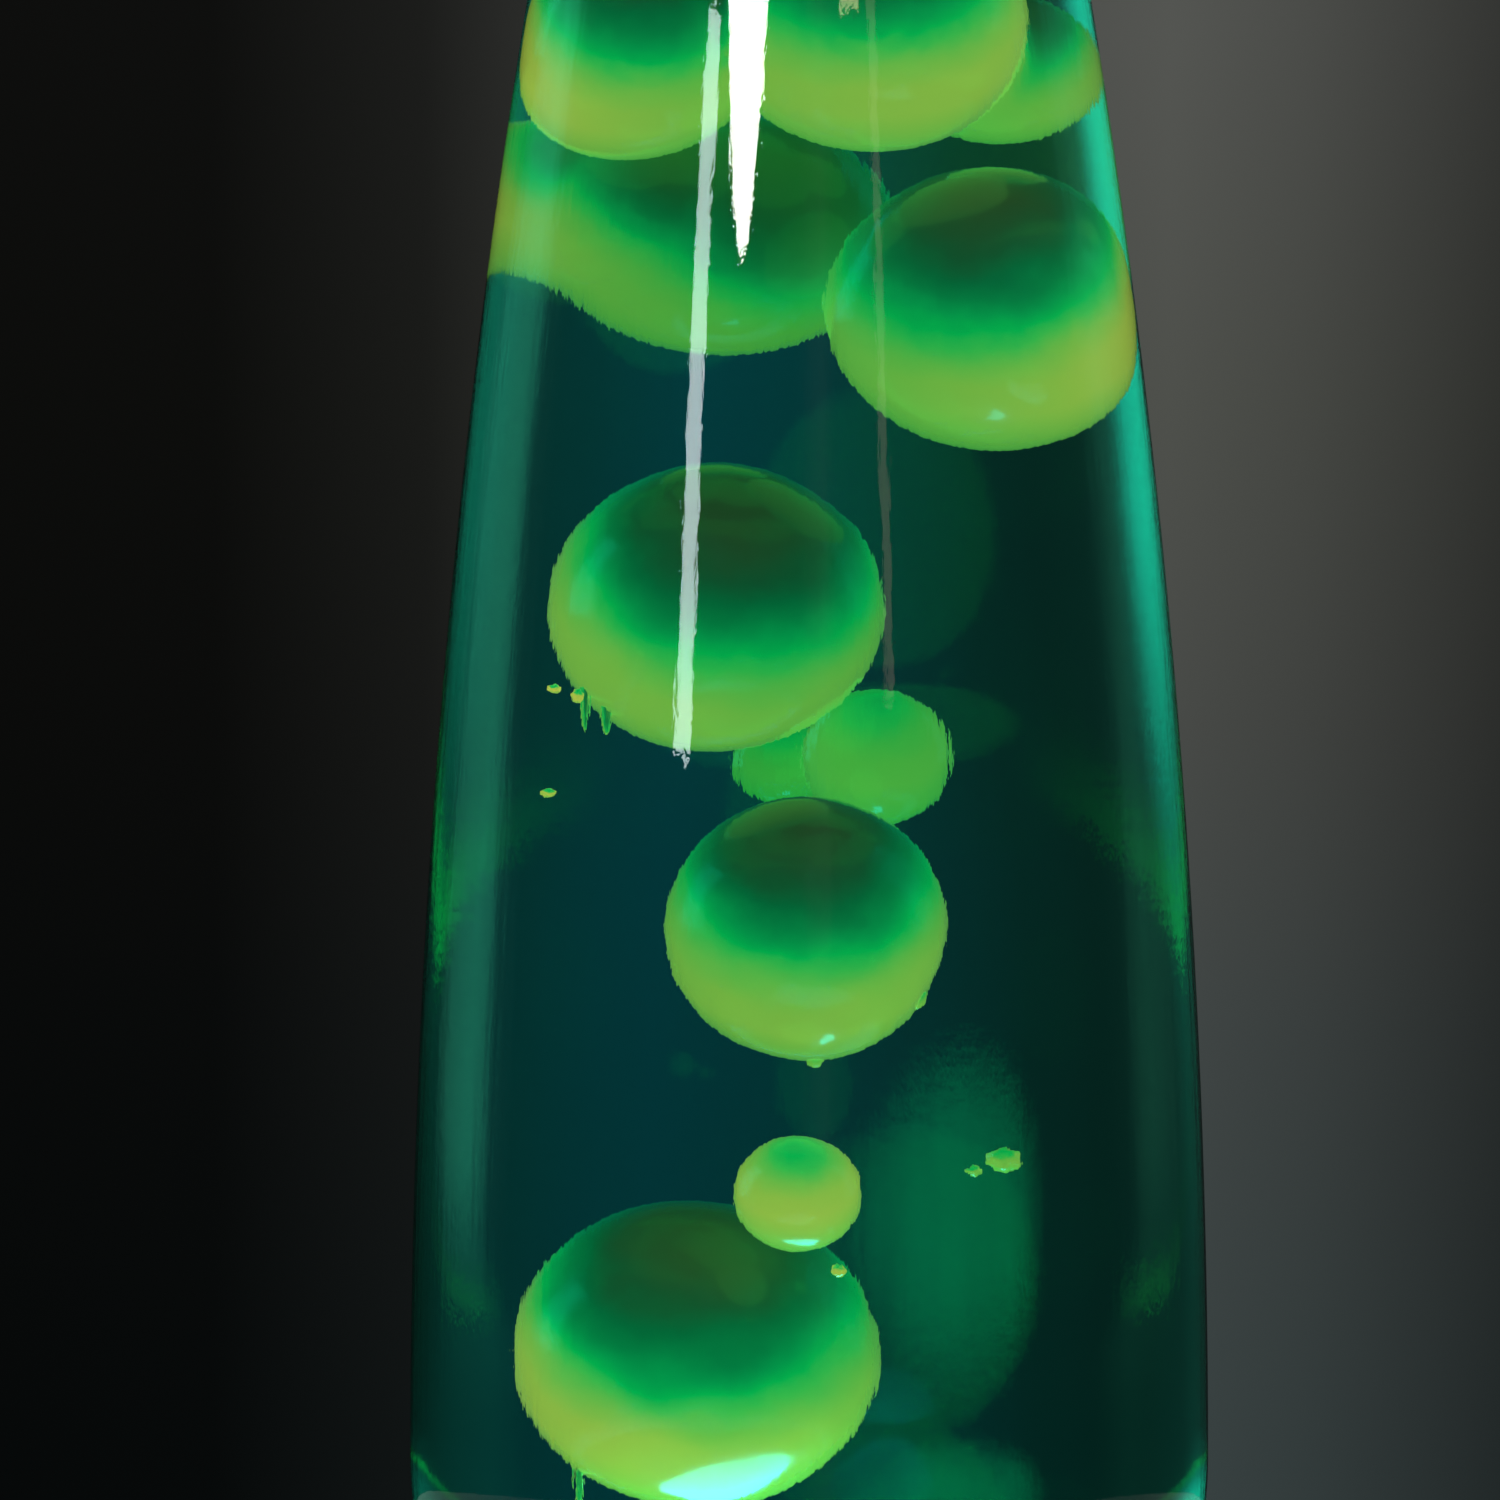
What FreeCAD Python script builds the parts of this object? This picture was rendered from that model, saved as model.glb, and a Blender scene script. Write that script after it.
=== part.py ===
"""Lava lamp: a spun aluminium base and cap, a sealed glass globe of liquid and wax, and a reflector bulb.

Units are millimetres, +Z is up, the floor is z = 0 and the front of the lamp faces -Y.
"""
import FreeCAD, Part
import math
import os

V = FreeCAD.Vector
UP = V(0, 0, 1)
ORIGIN = V(0, 0, 0)
FULL_TURN = 360.0
HALF = 0.5

# ---------------------------------------------------------------- overall sizes
LAMP_TOP_Z = 413.0
WIDEST_R = 47.0                  # glass radius at its widest level
WIDEST_Z = 155.0                 # height of that level
SHOULDER_R = 25.6                # glass radius where the flank ends
GLASS_WALL = 3.0
GLASS_BOTTOM_Z = 97.0            # the globe's standing ring
SHEET = 0.9                      # the spun aluminium
CAP_HEIGHT = 58.0
PAD_T = 1.4                      # felt pad between the cap and the closure
CROWN_TOP_Z = LAMP_TOP_Z - SHEET - PAD_T
CAP_BOTTOM_Z = LAMP_TOP_Z - CAP_HEIGHT
NECK_TOP_Z = CROWN_TOP_Z - 7.1
SHOULDER_Z = CROWN_TOP_Z - 42.7  # where the flank ends, hidden in the cap
FLANK_RISE = SHOULDER_Z - WIDEST_Z
FLANK_DRAW = WIDEST_R - SHOULDER_R
FLANK_ARC_R = (FLANK_RISE ** 2 + FLANK_DRAW ** 2) / (2.0 * FLANK_DRAW)

# ---------------------------------------------------------------- glass globe
TUMBLE_ARC_R = 58.0              # turn from the widest level into the lower cone
HEEL_R = 4.0                     # rounded lower edge
STANDING_RING_INNER_R = 28.5
PUNT_RISE = 3.0                  # hollow under the globe
SHOULDER_ARC_R = 12.0
SHOULDER_TURN = 55.0
NECK_BLEND_R = 7.0
NECK_R = 12.6
NECK_BORE_R = 8.6
LIP_R = 13.3
LIP_ROUND = 1.9

# ---------------------------------------------------------------- crown closure
CROWN_SHEET = 0.35
CROWN_LINER = 0.6
CROWN_HEIGHT = 6.0
CROWN_FLUTES = 21
CROWN_TOP_R = 13.9
CROWN_VALLEY_R = 14.7
CROWN_CREST_R = 15.9
CROWN_GAP = 0.15                 # clearance between the crown and the lip

# ---------------------------------------------------------------- liquid
LIQUID_GAP = 0.12                # modelled clearance to the glass
LIQUID_TOP_Z = SHOULDER_Z + 6.0  # an air space is left above it
WAX_GAP = 0.3                    # modelled clearance around every wax blob

# ---------------------------------------------------------------- wax, as (x, y, z, radius, half height)
BLOB_LOWER = (-10.3, -4.0, 167.6, 16.8, 17.6)
BLOB_SMALL = (-1.4, -24.0, 187.3, 6.4, 6.6)
BLOB_MIDDLE = (-0.5, -17.0, 216.9, 13.7, 15.0)
BLOB_PAIR_RIGHT = (5.8, 7.0, 235.8, 6.5, 8.0)
BLOB_PAIR_LEFT = (-1.9, 18.0, 234.8, 4.1, 4.7)
BLOB_UPPER = (-9.0, -8.0, 253.3, 15.9, 16.7)
BLOB_RIGHT = (17.0, -3.0, 287.9, 15.8, 16.5)
BACK_LOBES = (                   # round lobes run together, as (x, y, z, radius)
    (-6.4, 17.4, 297.0, 13.8),
    (-17.0, 16.5, 298.5, 9.5),
)
TOP_LOBES = (
    (-16.4, -3.0, 318.2, 13.2),
    (5.8, -7.0, 321.1, 15.5),
    (15.5, 8.5, 315.7, 8.5),
    (-3.0, 3.0, 331.0, 17.0),
)
WAX_BEADS = (
    (18.5, -12.0, 190.2, 1.5, 1.2),
    (2.7, -33.0, 179.3, 0.7, 0.7),
    (-24.5, -24.0, 243.5, 0.7, 0.8),
    (-27.5, -22.0, 232.5, 0.9, 0.5),
    (-27.3, -24.0, 244.4, 0.8, 0.5),
    (15.6, -14.0, 189.2, 0.7, 0.6),
)
POOL_TOP_Z = 121.0               # crown of the wax left in the bottom
POOL_EDGE_Z = 110.0
POOL_GAP = 0.2

# ---------------------------------------------------------------- heating coil, a spring bent into a ring
COIL_RING_R = 24.5
COIL_TURN_R = 2.9
COIL_WIRE_R = 0.55
COIL_TURNS = 30
COIL_GAP = 0.05                  # clearance of the turns on the ring that carries them
COIL_Z = 106.2

# ---------------------------------------------------------------- spun base
CUP_RIM_Z = 143.0
CUP_RIM_R = WIDEST_R + 0.6
CUP_BEAD_R = 0.9
CUP_FLOOR_Z = 71.0
WAIST_R = 30.5
LOWER_CONE_SLOPE = (CUP_RIM_R - WAIST_R) / (CUP_RIM_Z - CUP_FLOOR_Z)  # cup and globe alike
SKIRT_BOTTOM_Z = 4.0
SKIRT_BOTTOM_R = 52.0
SKIRT_FLANGE_R = SKIRT_BOTTOM_R - 9.0  # the bottom plate screws to this flange
BULB_R = 19.5
WAIST_HOLE_R = BULB_R + 2.1      # the bulb passes through here
WAIST_R_SKIRT = WAIST_R - 0.3
FEATHER = 0.05                   # clearance between nested sheets

# ---------------------------------------------------------------- globe seat
SEAT_RING_T = 1.0
GASKET_T = 1.0
SEAT_INNER_R = 25.5
SEAT_FLANGE = 7.0
GASKET_INNER_R = 28.0
GASKET_OUTER_R = 33.6

# ---------------------------------------------------------------- cap
CAP_GAP = 2.06                   # from the flank to the cap's outer face at its mouth
CAP_BOTTOM_R = (WIDEST_R - FLANK_ARC_R + math.sqrt(FLANK_ARC_R ** 2 - (CAP_BOTTOM_Z - WIDEST_Z) ** 2)
                + CAP_GAP)
CAP_TOP_R = 20.0
CAP_ROUND = 3.0
CAP_SHEET = SHEET
CAP_BEAD_R = 0.8
PAD_R = 12.0

# ---------------------------------------------------------------- bulb
BULB_TIP_Z = 17.5
THREAD_PITCH = 2.822             # E14
THREAD_MALE_CREST_R = 6.9
THREAD_MALE_ROOT_R = 6.15
THREAD_FEMALE_ROOT_R = 7.1
THREAD_FEMALE_CREST_R = 6.45
THREAD_MALE_CREST_W = 0.7
THREAD_FEMALE_CREST_W = 1.2
THREAD_FLANK = 0.467             # half width gained per mm of depth
SHELL_WALL = 0.45
SHELL_BOTTOM_Z = 20.0
SHELL_TOP_Z = 36.2
COLLAR_TOP_Z = 41.0
COLLAR_R = 7.3
ENVELOPE_NECK_R = 6.65
ENVELOPE_WALL = 0.7
ENVELOPE_BOTTOM_Z = 37.2
ENVELOPE_NECK_LEN = 9.5
FLARE_R = 11.0
FLARE_TURN = 29.0
BULB_EDGE_R = 6.5
BULB_EDGE_TURN = 96.0
TIP_R = 2.6
TIP_H = 1.6
INSULATOR_TOP_R = 5.6
FILAMENT_Z = 69.5
FILAMENT_R = 6.0
FILAMENT_WIRE_R = 0.22
STEM_R = 3.4
STEM_TOP_Z = 53.5
LEAD_R = 0.35

# ---------------------------------------------------------------- lamp holder
HOUSING_R = 12.0
HOUSING_BORE_R = 8.25
HOUSING_Z = 12.0
HOUSING_TOP_Z = 36.0
HOUSING_FLOOR = 2.6
HOLDER_SHELL_R = 8.05
HOLDER_SHELL_BOTTOM_Z = 18.4
HOLDER_SHELL_TOP_Z = 35.4
CONTACT_GAP = 0.06
STRAP_T = 1.6
STRAP_W = 12.0
STRAP_LEG_X = BULB_R + 2.9       # inner face of each leg
STRAP_TAB = 6.2
NIPPLE_R = 5.0                   # M10 x 1
NIPPLE_BORE_R = 3.6
NIPPLE_BOTTOM_Z = 5.4
NIPPLE_TOP_Z = 13.4              # stays inside the housing's floor, away from the contact
NUT_FLATS = 14.0
NUT_H = 3.0
WASHER_T = 0.6
WASHER_R = 8.6
NIPPLE_FIT = 0.12
TERMINAL_W = 6.0
TERMINAL_H = 9.0
TERMINAL_T = 1.0
TERMINAL_SCREW_R = 1.5
TERMINAL_HEAD_R = 2.9

# ---------------------------------------------------------------- fasteners, plate and feet
RIVET_RING_R = WAIST_R - 3.8
RIVET_R = 1.6
RIVET_HEAD_R = 3.0
RIVET_HEAD_H = 0.9
RIVET_FIT = 0.08
PLATE_T = 1.0
PLATE_R = SKIRT_BOTTOM_R - 1.4
PLATE_VENTS = 12
VENT_RING_R = 22.0
VENT_W = 3.0
VENT_L = 10.0
PLATE_SCREWS = 3
PLATE_SCREW_RING_R = SKIRT_BOTTOM_R - 5.7
PLATE_SCREW_R = 1.45
PLATE_SCREW_HEAD_R = 2.9
PLATE_SCREW_HEAD_H = 1.5
PLATE_SCREW_LEN = 7.0
PLATE_SCREW_FIT = 0.1
FEET = 4
FOOT_RING_R = SKIRT_BOTTOM_R - 12.0
FOOT_R = 5.0
FOOT_NECK_R = 2.2
FOOT_BULB_R = 3.0

# ---------------------------------------------------------------- cord inlet
INLET_Z = 13.0
GROMMET_HOLE_R = 3.1
GROMMET_NECK_R = 5.0
GROMMET_FLANGE_R = 6.8
GROMMET_FLANGE_T = 1.4
GROMMET_GROOVE = SHEET + 0.7     # takes the sheet and its curvature
GROMMET_SET = 0.27               # the groove sits this far inwards for the same reason
GROMMET_FIT = 0.1

os.makedirs("parts", exist_ok=True)


# ================================================================ helpers
def point(radius, height):
    """Return a point of a profile in the XZ half plane."""
    return V(radius, 0, height)


def walk(start, heading, moves):
    """Follow tangent lines and arcs from a start.

    Args:
        start: (radius, height) of the first point.
        heading: direction of travel in degrees, 90 being up.
        moves: ("line", length) or ("arc", radius, turn) with a left turn positive.

    Returns:
        A list of edges and the (radius, height) where they end.
    """
    edges = []
    r, z = start
    angle = math.radians(heading)
    for move in moves:
        if move[0] == "line":
            end = (r + move[1] * math.cos(angle), z + move[1] * math.sin(angle))
            edges.append(Part.makeLine(point(r, z), point(*end)))
            r, z = end
            continue
        _, radius, turn = move
        side = math.copysign(1.0, turn)
        swing = math.radians(turn)
        centre = (r - side * radius * math.sin(angle), z + side * radius * math.cos(angle))

        def on_arc(part):
            """Return the point a part of the way round this arc."""
            direction = angle + swing * part
            return (centre[0] + side * radius * math.sin(direction),
                    centre[1] - side * radius * math.cos(direction))

        middle = on_arc(HALF)
        end = on_arc(1.0)
        edges.append(Part.Arc(point(r, z), point(*middle), point(*end)).toShape())
        r, z = end
        angle += swing
    return edges, (r, z)


def lines(points):
    """Return straight edges joining (radius, height) points in order."""
    return [Part.makeLine(point(*a), point(*b)) for a, b in zip(points[:-1], points[1:])]


def spun(edges):
    """Revolve a closed set of profile edges into a solid."""
    ordered = Part.__sortEdges__(edges)
    face = Part.Face(Part.Wire(ordered))
    return solid_of(face.revolve(ORIGIN, UP, FULL_TURN))


def turned(points):
    """Revolve a closed polygon of (radius, height) points."""
    return spun(lines(list(points) + [points[0]]))


def solid_of(shape):
    """Return a forward-facing solid, or a compound of them, from a shape."""
    solids = []
    for piece in shape.Solids:
        if piece.Volume < 0:
            piece.reverse()
        solids.append(piece)
    if len(solids) == 1:
        return solids[0]
    return Part.makeCompound(solids)


def tube(outer, inner, low, high):
    """Return a plain ring between two radii and two heights."""
    ring = Part.makeCylinder(outer, high - low, V(0, 0, low))
    return ring.cut(Part.makeCylinder(inner, high - low, V(0, 0, low)))


def disc(radius, low, high, x=0.0, y=0.0):
    """Return an upright cylinder."""
    return Part.makeCylinder(radius, high - low, V(x, y, low))


def box(low, high):
    """Return a box between two corners."""
    size = [b - a for a, b in zip(low, high)]
    return Part.makeBox(size[0], size[1], size[2], V(*low))


def ring_places(count, radius, start=0.0):
    """Yield (angle in degrees, x, y) evenly round a circle."""
    for index in range(count):
        degrees = start + FULL_TURN * index / count
        angle = math.radians(degrees)
        yield degrees, radius * math.cos(angle), radius * math.sin(angle)


def ellipsoid(place, grow=0.0):
    """Return a wax blob, a body of revolution, a little larger if asked."""
    x, y, z, radius, half_height = place
    ball = Part.makeSphere(1.0)
    stretch = FreeCAD.Matrix()
    stretch.scale(V(radius + grow, radius + grow, half_height + grow))
    ball = ball.transformGeometry(stretch)
    ball.translate(V(x, y, z))
    return ball


def joined(shapes):
    """Fuse shapes into one."""
    whole = shapes[0]
    if len(shapes) > 1:
        whole = whole.multiFuse(shapes[1:])
    return whole


def export(name, shape):
    """Check one sub-part and write it."""
    if not shape.isValid() or shape.Volume <= 0:
        raise RuntimeError(name + " is not a valid solid")
    shape.exportStep("parts/" + name + ".step")
    size = shape.BoundBox
    print(name, len(shape.Solids), round(shape.Volume, 1), round(size.ZMin, 2), round(size.ZMax, 2))


# ================================================================ globe
def globe_moves(inset):
    """Return the moves up the flank and shoulder, and where the neck starts."""
    flank = math.degrees(math.asin((SHOULDER_Z - WIDEST_Z) / FLANK_ARC_R))
    shoulder = ("arc", SHOULDER_ARC_R, SHOULDER_TURN)
    back = flank + SHOULDER_TURN
    blend = ("arc", NECK_BLEND_R, -back)
    outer = [("arc", FLANK_ARC_R, flank), shoulder]
    _, reached = walk((WIDEST_R, WIDEST_Z), 90.0, outer + [blend])
    run = (reached[0] - NECK_R) / -math.cos(math.radians(90.0 + back))
    return [
        ("arc", FLANK_ARC_R - inset, flank),
        ("arc", SHOULDER_ARC_R - inset, SHOULDER_TURN),
        ("line", run),
        ("arc", NECK_BLEND_R + inset, -back),
    ]


def globe_lower(inset, floor_z, ring_r):
    """Return the edges from the widest level down to the floor, and their last point."""
    tilt = math.degrees(math.atan(LOWER_CONE_SLOPE))
    heel = max(HEEL_R - inset, 1.0)
    start = (WIDEST_R - inset, WIDEST_Z)
    turn_in = [("arc", TUMBLE_ARC_R - inset, -tilt)]
    _, top = walk(start, -90.0, turn_in)
    drop = heel * (1.0 - math.sin(math.radians(tilt)))
    cone = (top[1] - floor_z - drop) / math.cos(math.radians(tilt))
    moves = turn_in + [("line", cone), ("arc", heel, -(90.0 - tilt))]
    edges, end = walk(start, -90.0, moves)
    return edges + lines([end, (ring_r, floor_z)])


def glass_globe():
    """Return the bottle: heel, cone, bowed flank, shoulder and crown-finish neck."""
    outer, neck = walk((WIDEST_R, WIDEST_Z), 90.0, globe_moves(0.0))
    inner, neck_in = walk((WIDEST_R - GLASS_WALL, WIDEST_Z), 90.0, globe_moves(GLASS_WALL))
    lip_top = CROWN_TOP_Z - CROWN_SHEET - CROWN_LINER
    lip = lines([neck, (NECK_R, NECK_TOP_Z), (LIP_R, NECK_TOP_Z + LIP_R - NECK_R)])
    lip += lines([(LIP_R, NECK_TOP_Z + LIP_R - NECK_R), (LIP_R, lip_top - LIP_ROUND)])
    bend = math.cos(math.radians(45.0))
    centre = (LIP_R - LIP_ROUND, lip_top - LIP_ROUND)
    middle = (centre[0] + LIP_ROUND * bend, centre[1] + LIP_ROUND * bend)
    lip.append(Part.Arc(point(LIP_R, centre[1]), point(*middle), point(centre[0], lip_top)).toShape())
    bore = [(centre[0], lip_top), (NECK_BORE_R, lip_top), (NECK_BORE_R, neck_in[1] + GLASS_WALL), neck_in]
    floor_z = GLASS_BOTTOM_Z + GLASS_WALL + HALF
    under = globe_lower(0.0, GLASS_BOTTOM_Z, STANDING_RING_INNER_R)
    under += lines([(STANDING_RING_INNER_R, GLASS_BOTTOM_Z), (0.0, GLASS_BOTTOM_Z + PUNT_RISE)])
    inside = globe_lower(GLASS_WALL, floor_z, STANDING_RING_INNER_R)
    inside += lines([(STANDING_RING_INNER_R, floor_z), (0.0, floor_z + PUNT_RISE)])
    axis = lines([(0.0, GLASS_BOTTOM_Z + PUNT_RISE), (0.0, floor_z + PUNT_RISE)])
    return spun(outer + lip + lines(bore) + inner + inside + under + axis)


def inside_of_globe(inset):
    """Return the space inside the glass up to the liquid's surface, shrunk a little."""
    deep = GLASS_WALL + inset
    inner, neck = walk((WIDEST_R - deep, WIDEST_Z), 90.0, globe_moves(deep))
    floor_z = GLASS_BOTTOM_Z + GLASS_WALL + HALF + inset
    inside = globe_lower(deep, floor_z, STANDING_RING_INNER_R)
    inside += lines([(STANDING_RING_INNER_R, floor_z), (0.0, floor_z + PUNT_RISE)])
    top = neck[1] + 1.0
    close = lines([neck, (neck[0], top), (0.0, top), (0.0, floor_z + PUNT_RISE)])
    whole = spun(inner + inside + close)
    return whole.common(disc(WIDEST_R, GLASS_BOTTOM_Z, LIQUID_TOP_Z))


def wax_pool():
    """Return the wax left in the bottom, with a domed top."""
    rise = POOL_TOP_Z - POOL_EDGE_Z
    dome_r = (WIDEST_R ** 2 + rise ** 2) / (2.0 * rise)
    dome = Part.makeSphere(dome_r, V(0, 0, POOL_TOP_Z - dome_r))
    return solid_of(inside_of_globe(LIQUID_GAP + POOL_GAP).common(dome))


def pool_hollow():
    """Return the hollow that the liquid leaves for the wax in the bottom."""
    rise = POOL_TOP_Z - POOL_EDGE_Z
    dome_r = (WIDEST_R ** 2 + rise ** 2) / (2.0 * rise)
    return Part.makeSphere(dome_r + POOL_GAP, V(0, 0, POOL_TOP_Z - dome_r))


def ball(place, grow=0.0):
    """Return a round lobe, a little larger if asked."""
    x, y, z, radius = place
    return Part.makeSphere(radius + grow, V(x, y, z))


def wax_top(grow=0.0):
    """Return the wax gathered under the shoulder, a mass with hanging lobes."""
    return joined([ball(place, grow) for place in TOP_LOBES])


def wax_blob_back(grow=0.0):
    """Return the long blob at the back, two lobes run together."""
    return joined([ball(place, grow) for place in BACK_LOBES])


def wax_beads():
    """Return the loose drops, one solid each."""
    return Part.makeCompound([ellipsoid(place) for place in WAX_BEADS])


def liquid_fill():
    """Return the liquid with a hollow for the pool, the mass on top and each blob."""
    liquid = inside_of_globe(LIQUID_GAP).cut(pool_hollow())
    hollows = [ellipsoid(place, WAX_GAP) for place in BLOBS.values()]
    hollows += [ellipsoid(place, WAX_GAP) for place in WAX_BEADS]
    hollows += [wax_blob_back(WAX_GAP), wax_top(WAX_GAP)]
    for hollow in hollows:
        liquid = liquid.cut(hollow)
    return solid_of(liquid)


BLOBS = {
    "wax_blob_lower": BLOB_LOWER,
    "wax_blob_small": BLOB_SMALL,
    "wax_blob_middle": BLOB_MIDDLE,
    "wax_blob_pair_right": BLOB_PAIR_RIGHT,
    "wax_blob_pair_left": BLOB_PAIR_LEFT,
    "wax_blob_upper": BLOB_UPPER,
    "wax_blob_right": BLOB_RIGHT,
}


def heating_coil():
    """Return the coil as closed turns threaded on a ring of the same wire."""
    drop = COIL_TURN_R - 2.0 * COIL_WIRE_R - COIL_GAP
    coil = [Part.makeTorus(COIL_RING_R, COIL_WIRE_R, V(0, 0, COIL_Z - drop))]
    for degrees, x, y in ring_places(COIL_TURNS, COIL_RING_R):
        angle = math.radians(degrees)
        along = V(-math.sin(angle), math.cos(angle), 0)
        coil.append(Part.makeTorus(COIL_TURN_R, COIL_WIRE_R, V(x, y, COIL_Z), along))
    return Part.makeCompound(coil)


def crown_wire(valley, crest, height):
    """Return a closed zigzag wire round the crown's skirt."""
    corners = []
    for index in range(2 * CROWN_FLUTES):
        radius = crest if index % 2 else valley
        angle = math.pi * index / CROWN_FLUTES
        corners.append(V(radius * math.cos(angle), radius * math.sin(angle), height))
    return Part.makePolygon(corners + [corners[0]])


def crown_cap():
    """Return the fluted steel closure crimped over the lip."""
    low = CROWN_TOP_Z - CROWN_HEIGHT
    top = crown_wire(CROWN_TOP_R, CROWN_TOP_R, CROWN_TOP_Z)
    foot = crown_wire(CROWN_VALLEY_R, CROWN_CREST_R, low)
    outer = Part.makeLoft([foot, top], True, True)
    inner_top = crown_wire(CROWN_TOP_R - CROWN_SHEET, CROWN_TOP_R - CROWN_SHEET, CROWN_TOP_Z)
    inner_foot = crown_wire(CROWN_VALLEY_R - CROWN_SHEET, CROWN_CREST_R - CROWN_SHEET, low)
    inner = Part.makeLoft([inner_foot, inner_top], True, True)
    inner = inner.common(disc(WIDEST_R, low, CROWN_TOP_Z - CROWN_SHEET))
    return solid_of(outer.cut(inner))


def crown_liner():
    """Return the sealing disc inside the closure."""
    high = CROWN_TOP_Z - CROWN_SHEET
    return disc(CROWN_TOP_R - CROWN_SHEET - CROWN_GAP, high - CROWN_LINER, high)


# ================================================================ cap
def cap_radius(z):
    """Return the cap's outer radius at a height."""
    part = (z - CAP_BOTTOM_Z) / (LAMP_TOP_Z - CAP_BOTTOM_Z)
    return CAP_BOTTOM_R + (CAP_TOP_R - CAP_BOTTOM_R) * part


def top_cap():
    """Return the tapered cap with a rounded top edge and a beaded mouth."""
    slope = math.degrees(math.atan((CAP_BOTTOM_R - CAP_TOP_R) / (LAMP_TOP_Z - CAP_BOTTOM_Z)))
    turn = 90.0 - slope
    rise = CAP_ROUND * (1.0 - math.sin(math.radians(slope)))
    side = (LAMP_TOP_Z - rise - CAP_BOTTOM_Z) / math.cos(math.radians(slope))

    def shell(inset):
        """Return the edges of one face of the sheet and its two ends."""
        start = (CAP_BOTTOM_R - inset / math.cos(math.radians(slope)), CAP_BOTTOM_Z)
        lean = inset * math.tan(math.radians(slope))
        moves = [("line", side - lean), ("arc", CAP_ROUND - inset, turn)]
        edges, end = walk(start, 90.0 + slope, moves)
        return edges, start, end

    outer, outer_start, outer_end = shell(0.0)
    inner, inner_start, inner_end = shell(CAP_SHEET)
    closing = lines([outer_end, (0.0, outer_end[1]), (0.0, inner_end[1]), inner_end])
    closing += lines([inner_start, outer_start])
    cap = spun(outer + inner + closing)
    middle_r = HALF * (outer_start[0] + inner_start[0])
    bead = Part.makeTorus(middle_r + CAP_BEAD_R * HALF, CAP_BEAD_R, V(0, 0, CAP_BOTTOM_Z + CAP_BEAD_R))
    return solid_of(cap.fuse(bead))


def cap_pad():
    """Return the felt disc that carries the cap on the crown closure."""
    return disc(PAD_R, CROWN_TOP_Z, CROWN_TOP_Z + PAD_T)


# ================================================================ base
def cup_radius(z):
    """Return the cup's outer radius at a height."""
    return WAIST_R + (CUP_RIM_R - WAIST_R) * (z - CUP_FLOOR_Z) / (CUP_RIM_Z - CUP_FLOOR_Z)


def skirt_radius(z):
    """Return the skirt's outer radius at a height."""
    part = (z - SKIRT_BOTTOM_Z) / (CUP_FLOOR_Z - SKIRT_BOTTOM_Z)
    return SKIRT_BOTTOM_R + (WAIST_R_SKIRT - SKIRT_BOTTOM_R) * part


def rivet_holes(low, high):
    """Return the four clearance holes at the waist."""
    places = ring_places(4, RIVET_RING_R)
    return [disc(RIVET_R + RIVET_FIT, low, high, x, y) for _, x, y in places]


def upper_cup():
    """Return the cup that holds the globe: floor, flaring wall and beaded rim."""
    top = CUP_FLOOR_Z + SHEET
    shell = turned([
        (WAIST_HOLE_R, CUP_FLOOR_Z),
        (cup_radius(CUP_FLOOR_Z), CUP_FLOOR_Z),
        (cup_radius(CUP_RIM_Z), CUP_RIM_Z),
        (cup_radius(CUP_RIM_Z) - SHEET, CUP_RIM_Z),
        (cup_radius(top) - SHEET, top),
        (WAIST_HOLE_R, top),
    ])
    bead = Part.makeTorus(CUP_RIM_R - HALF * SHEET, CUP_BEAD_R, V(0, 0, CUP_RIM_Z - CUP_BEAD_R))
    shell = shell.fuse(bead)
    return solid_of(shell.cut(joined(rivet_holes(CUP_FLOOR_Z - 1.0, top + 1.0))))


def inlet_axis():
    """Return where the cord inlet meets the skirt and the outward normal there."""
    slope = (SKIRT_BOTTOM_R - WAIST_R_SKIRT) / (CUP_FLOOR_Z - SKIRT_BOTTOM_Z)
    tilt = math.atan(slope)
    return V(0, skirt_radius(INLET_Z), INLET_Z), V(0, math.cos(tilt), math.sin(tilt))


def lower_skirt():
    """Return the skirt: waist flange, flaring wall and the flange for the bottom plate."""
    top = CUP_FLOOR_Z
    low = SKIRT_BOTTOM_Z
    shell = turned([
        (WAIST_HOLE_R, top),
        (WAIST_R_SKIRT, top),
        (skirt_radius(low), low),
        (SKIRT_FLANGE_R, low),
        (SKIRT_FLANGE_R, low + SHEET),
        (skirt_radius(low + SHEET) - SHEET, low + SHEET),
        (skirt_radius(top - SHEET) - SHEET, top - SHEET),
        (WAIST_HOLE_R, top - SHEET),
    ])
    tools = rivet_holes(top - 2.0, top + 1.0)
    where, normal = inlet_axis()
    reach = 8.0
    tools.append(Part.makeCylinder(GROMMET_NECK_R + GROMMET_FIT, 2 * reach, where - normal * reach, normal))
    for _, x, y in ring_places(PLATE_SCREWS, PLATE_SCREW_RING_R, 30.0):
        tools.append(disc(PLATE_SCREW_R + PLATE_SCREW_FIT, low - 1.0, low + 2.0, x, y))
    return solid_of(shell.cut(joined(tools)))


def waist_rivets():
    """Return the four rivets that hold the cup, the skirt and the strap together."""
    high = CUP_FLOOR_Z + SHEET
    low = CUP_FLOOR_Z - SHEET - STRAP_T
    rivets = []
    for _, x, y in ring_places(4, RIVET_RING_R):
        shank = disc(RIVET_R, low - RIVET_HEAD_H, high + RIVET_HEAD_H, x, y)
        head = disc(RIVET_HEAD_R, high, high + RIVET_HEAD_H, x, y)
        tail = disc(RIVET_HEAD_R - HALF, low - RIVET_HEAD_H, low, x, y)
        rivets.append(joined([shank, head, tail]))
    return Part.makeCompound(rivets)


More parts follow.
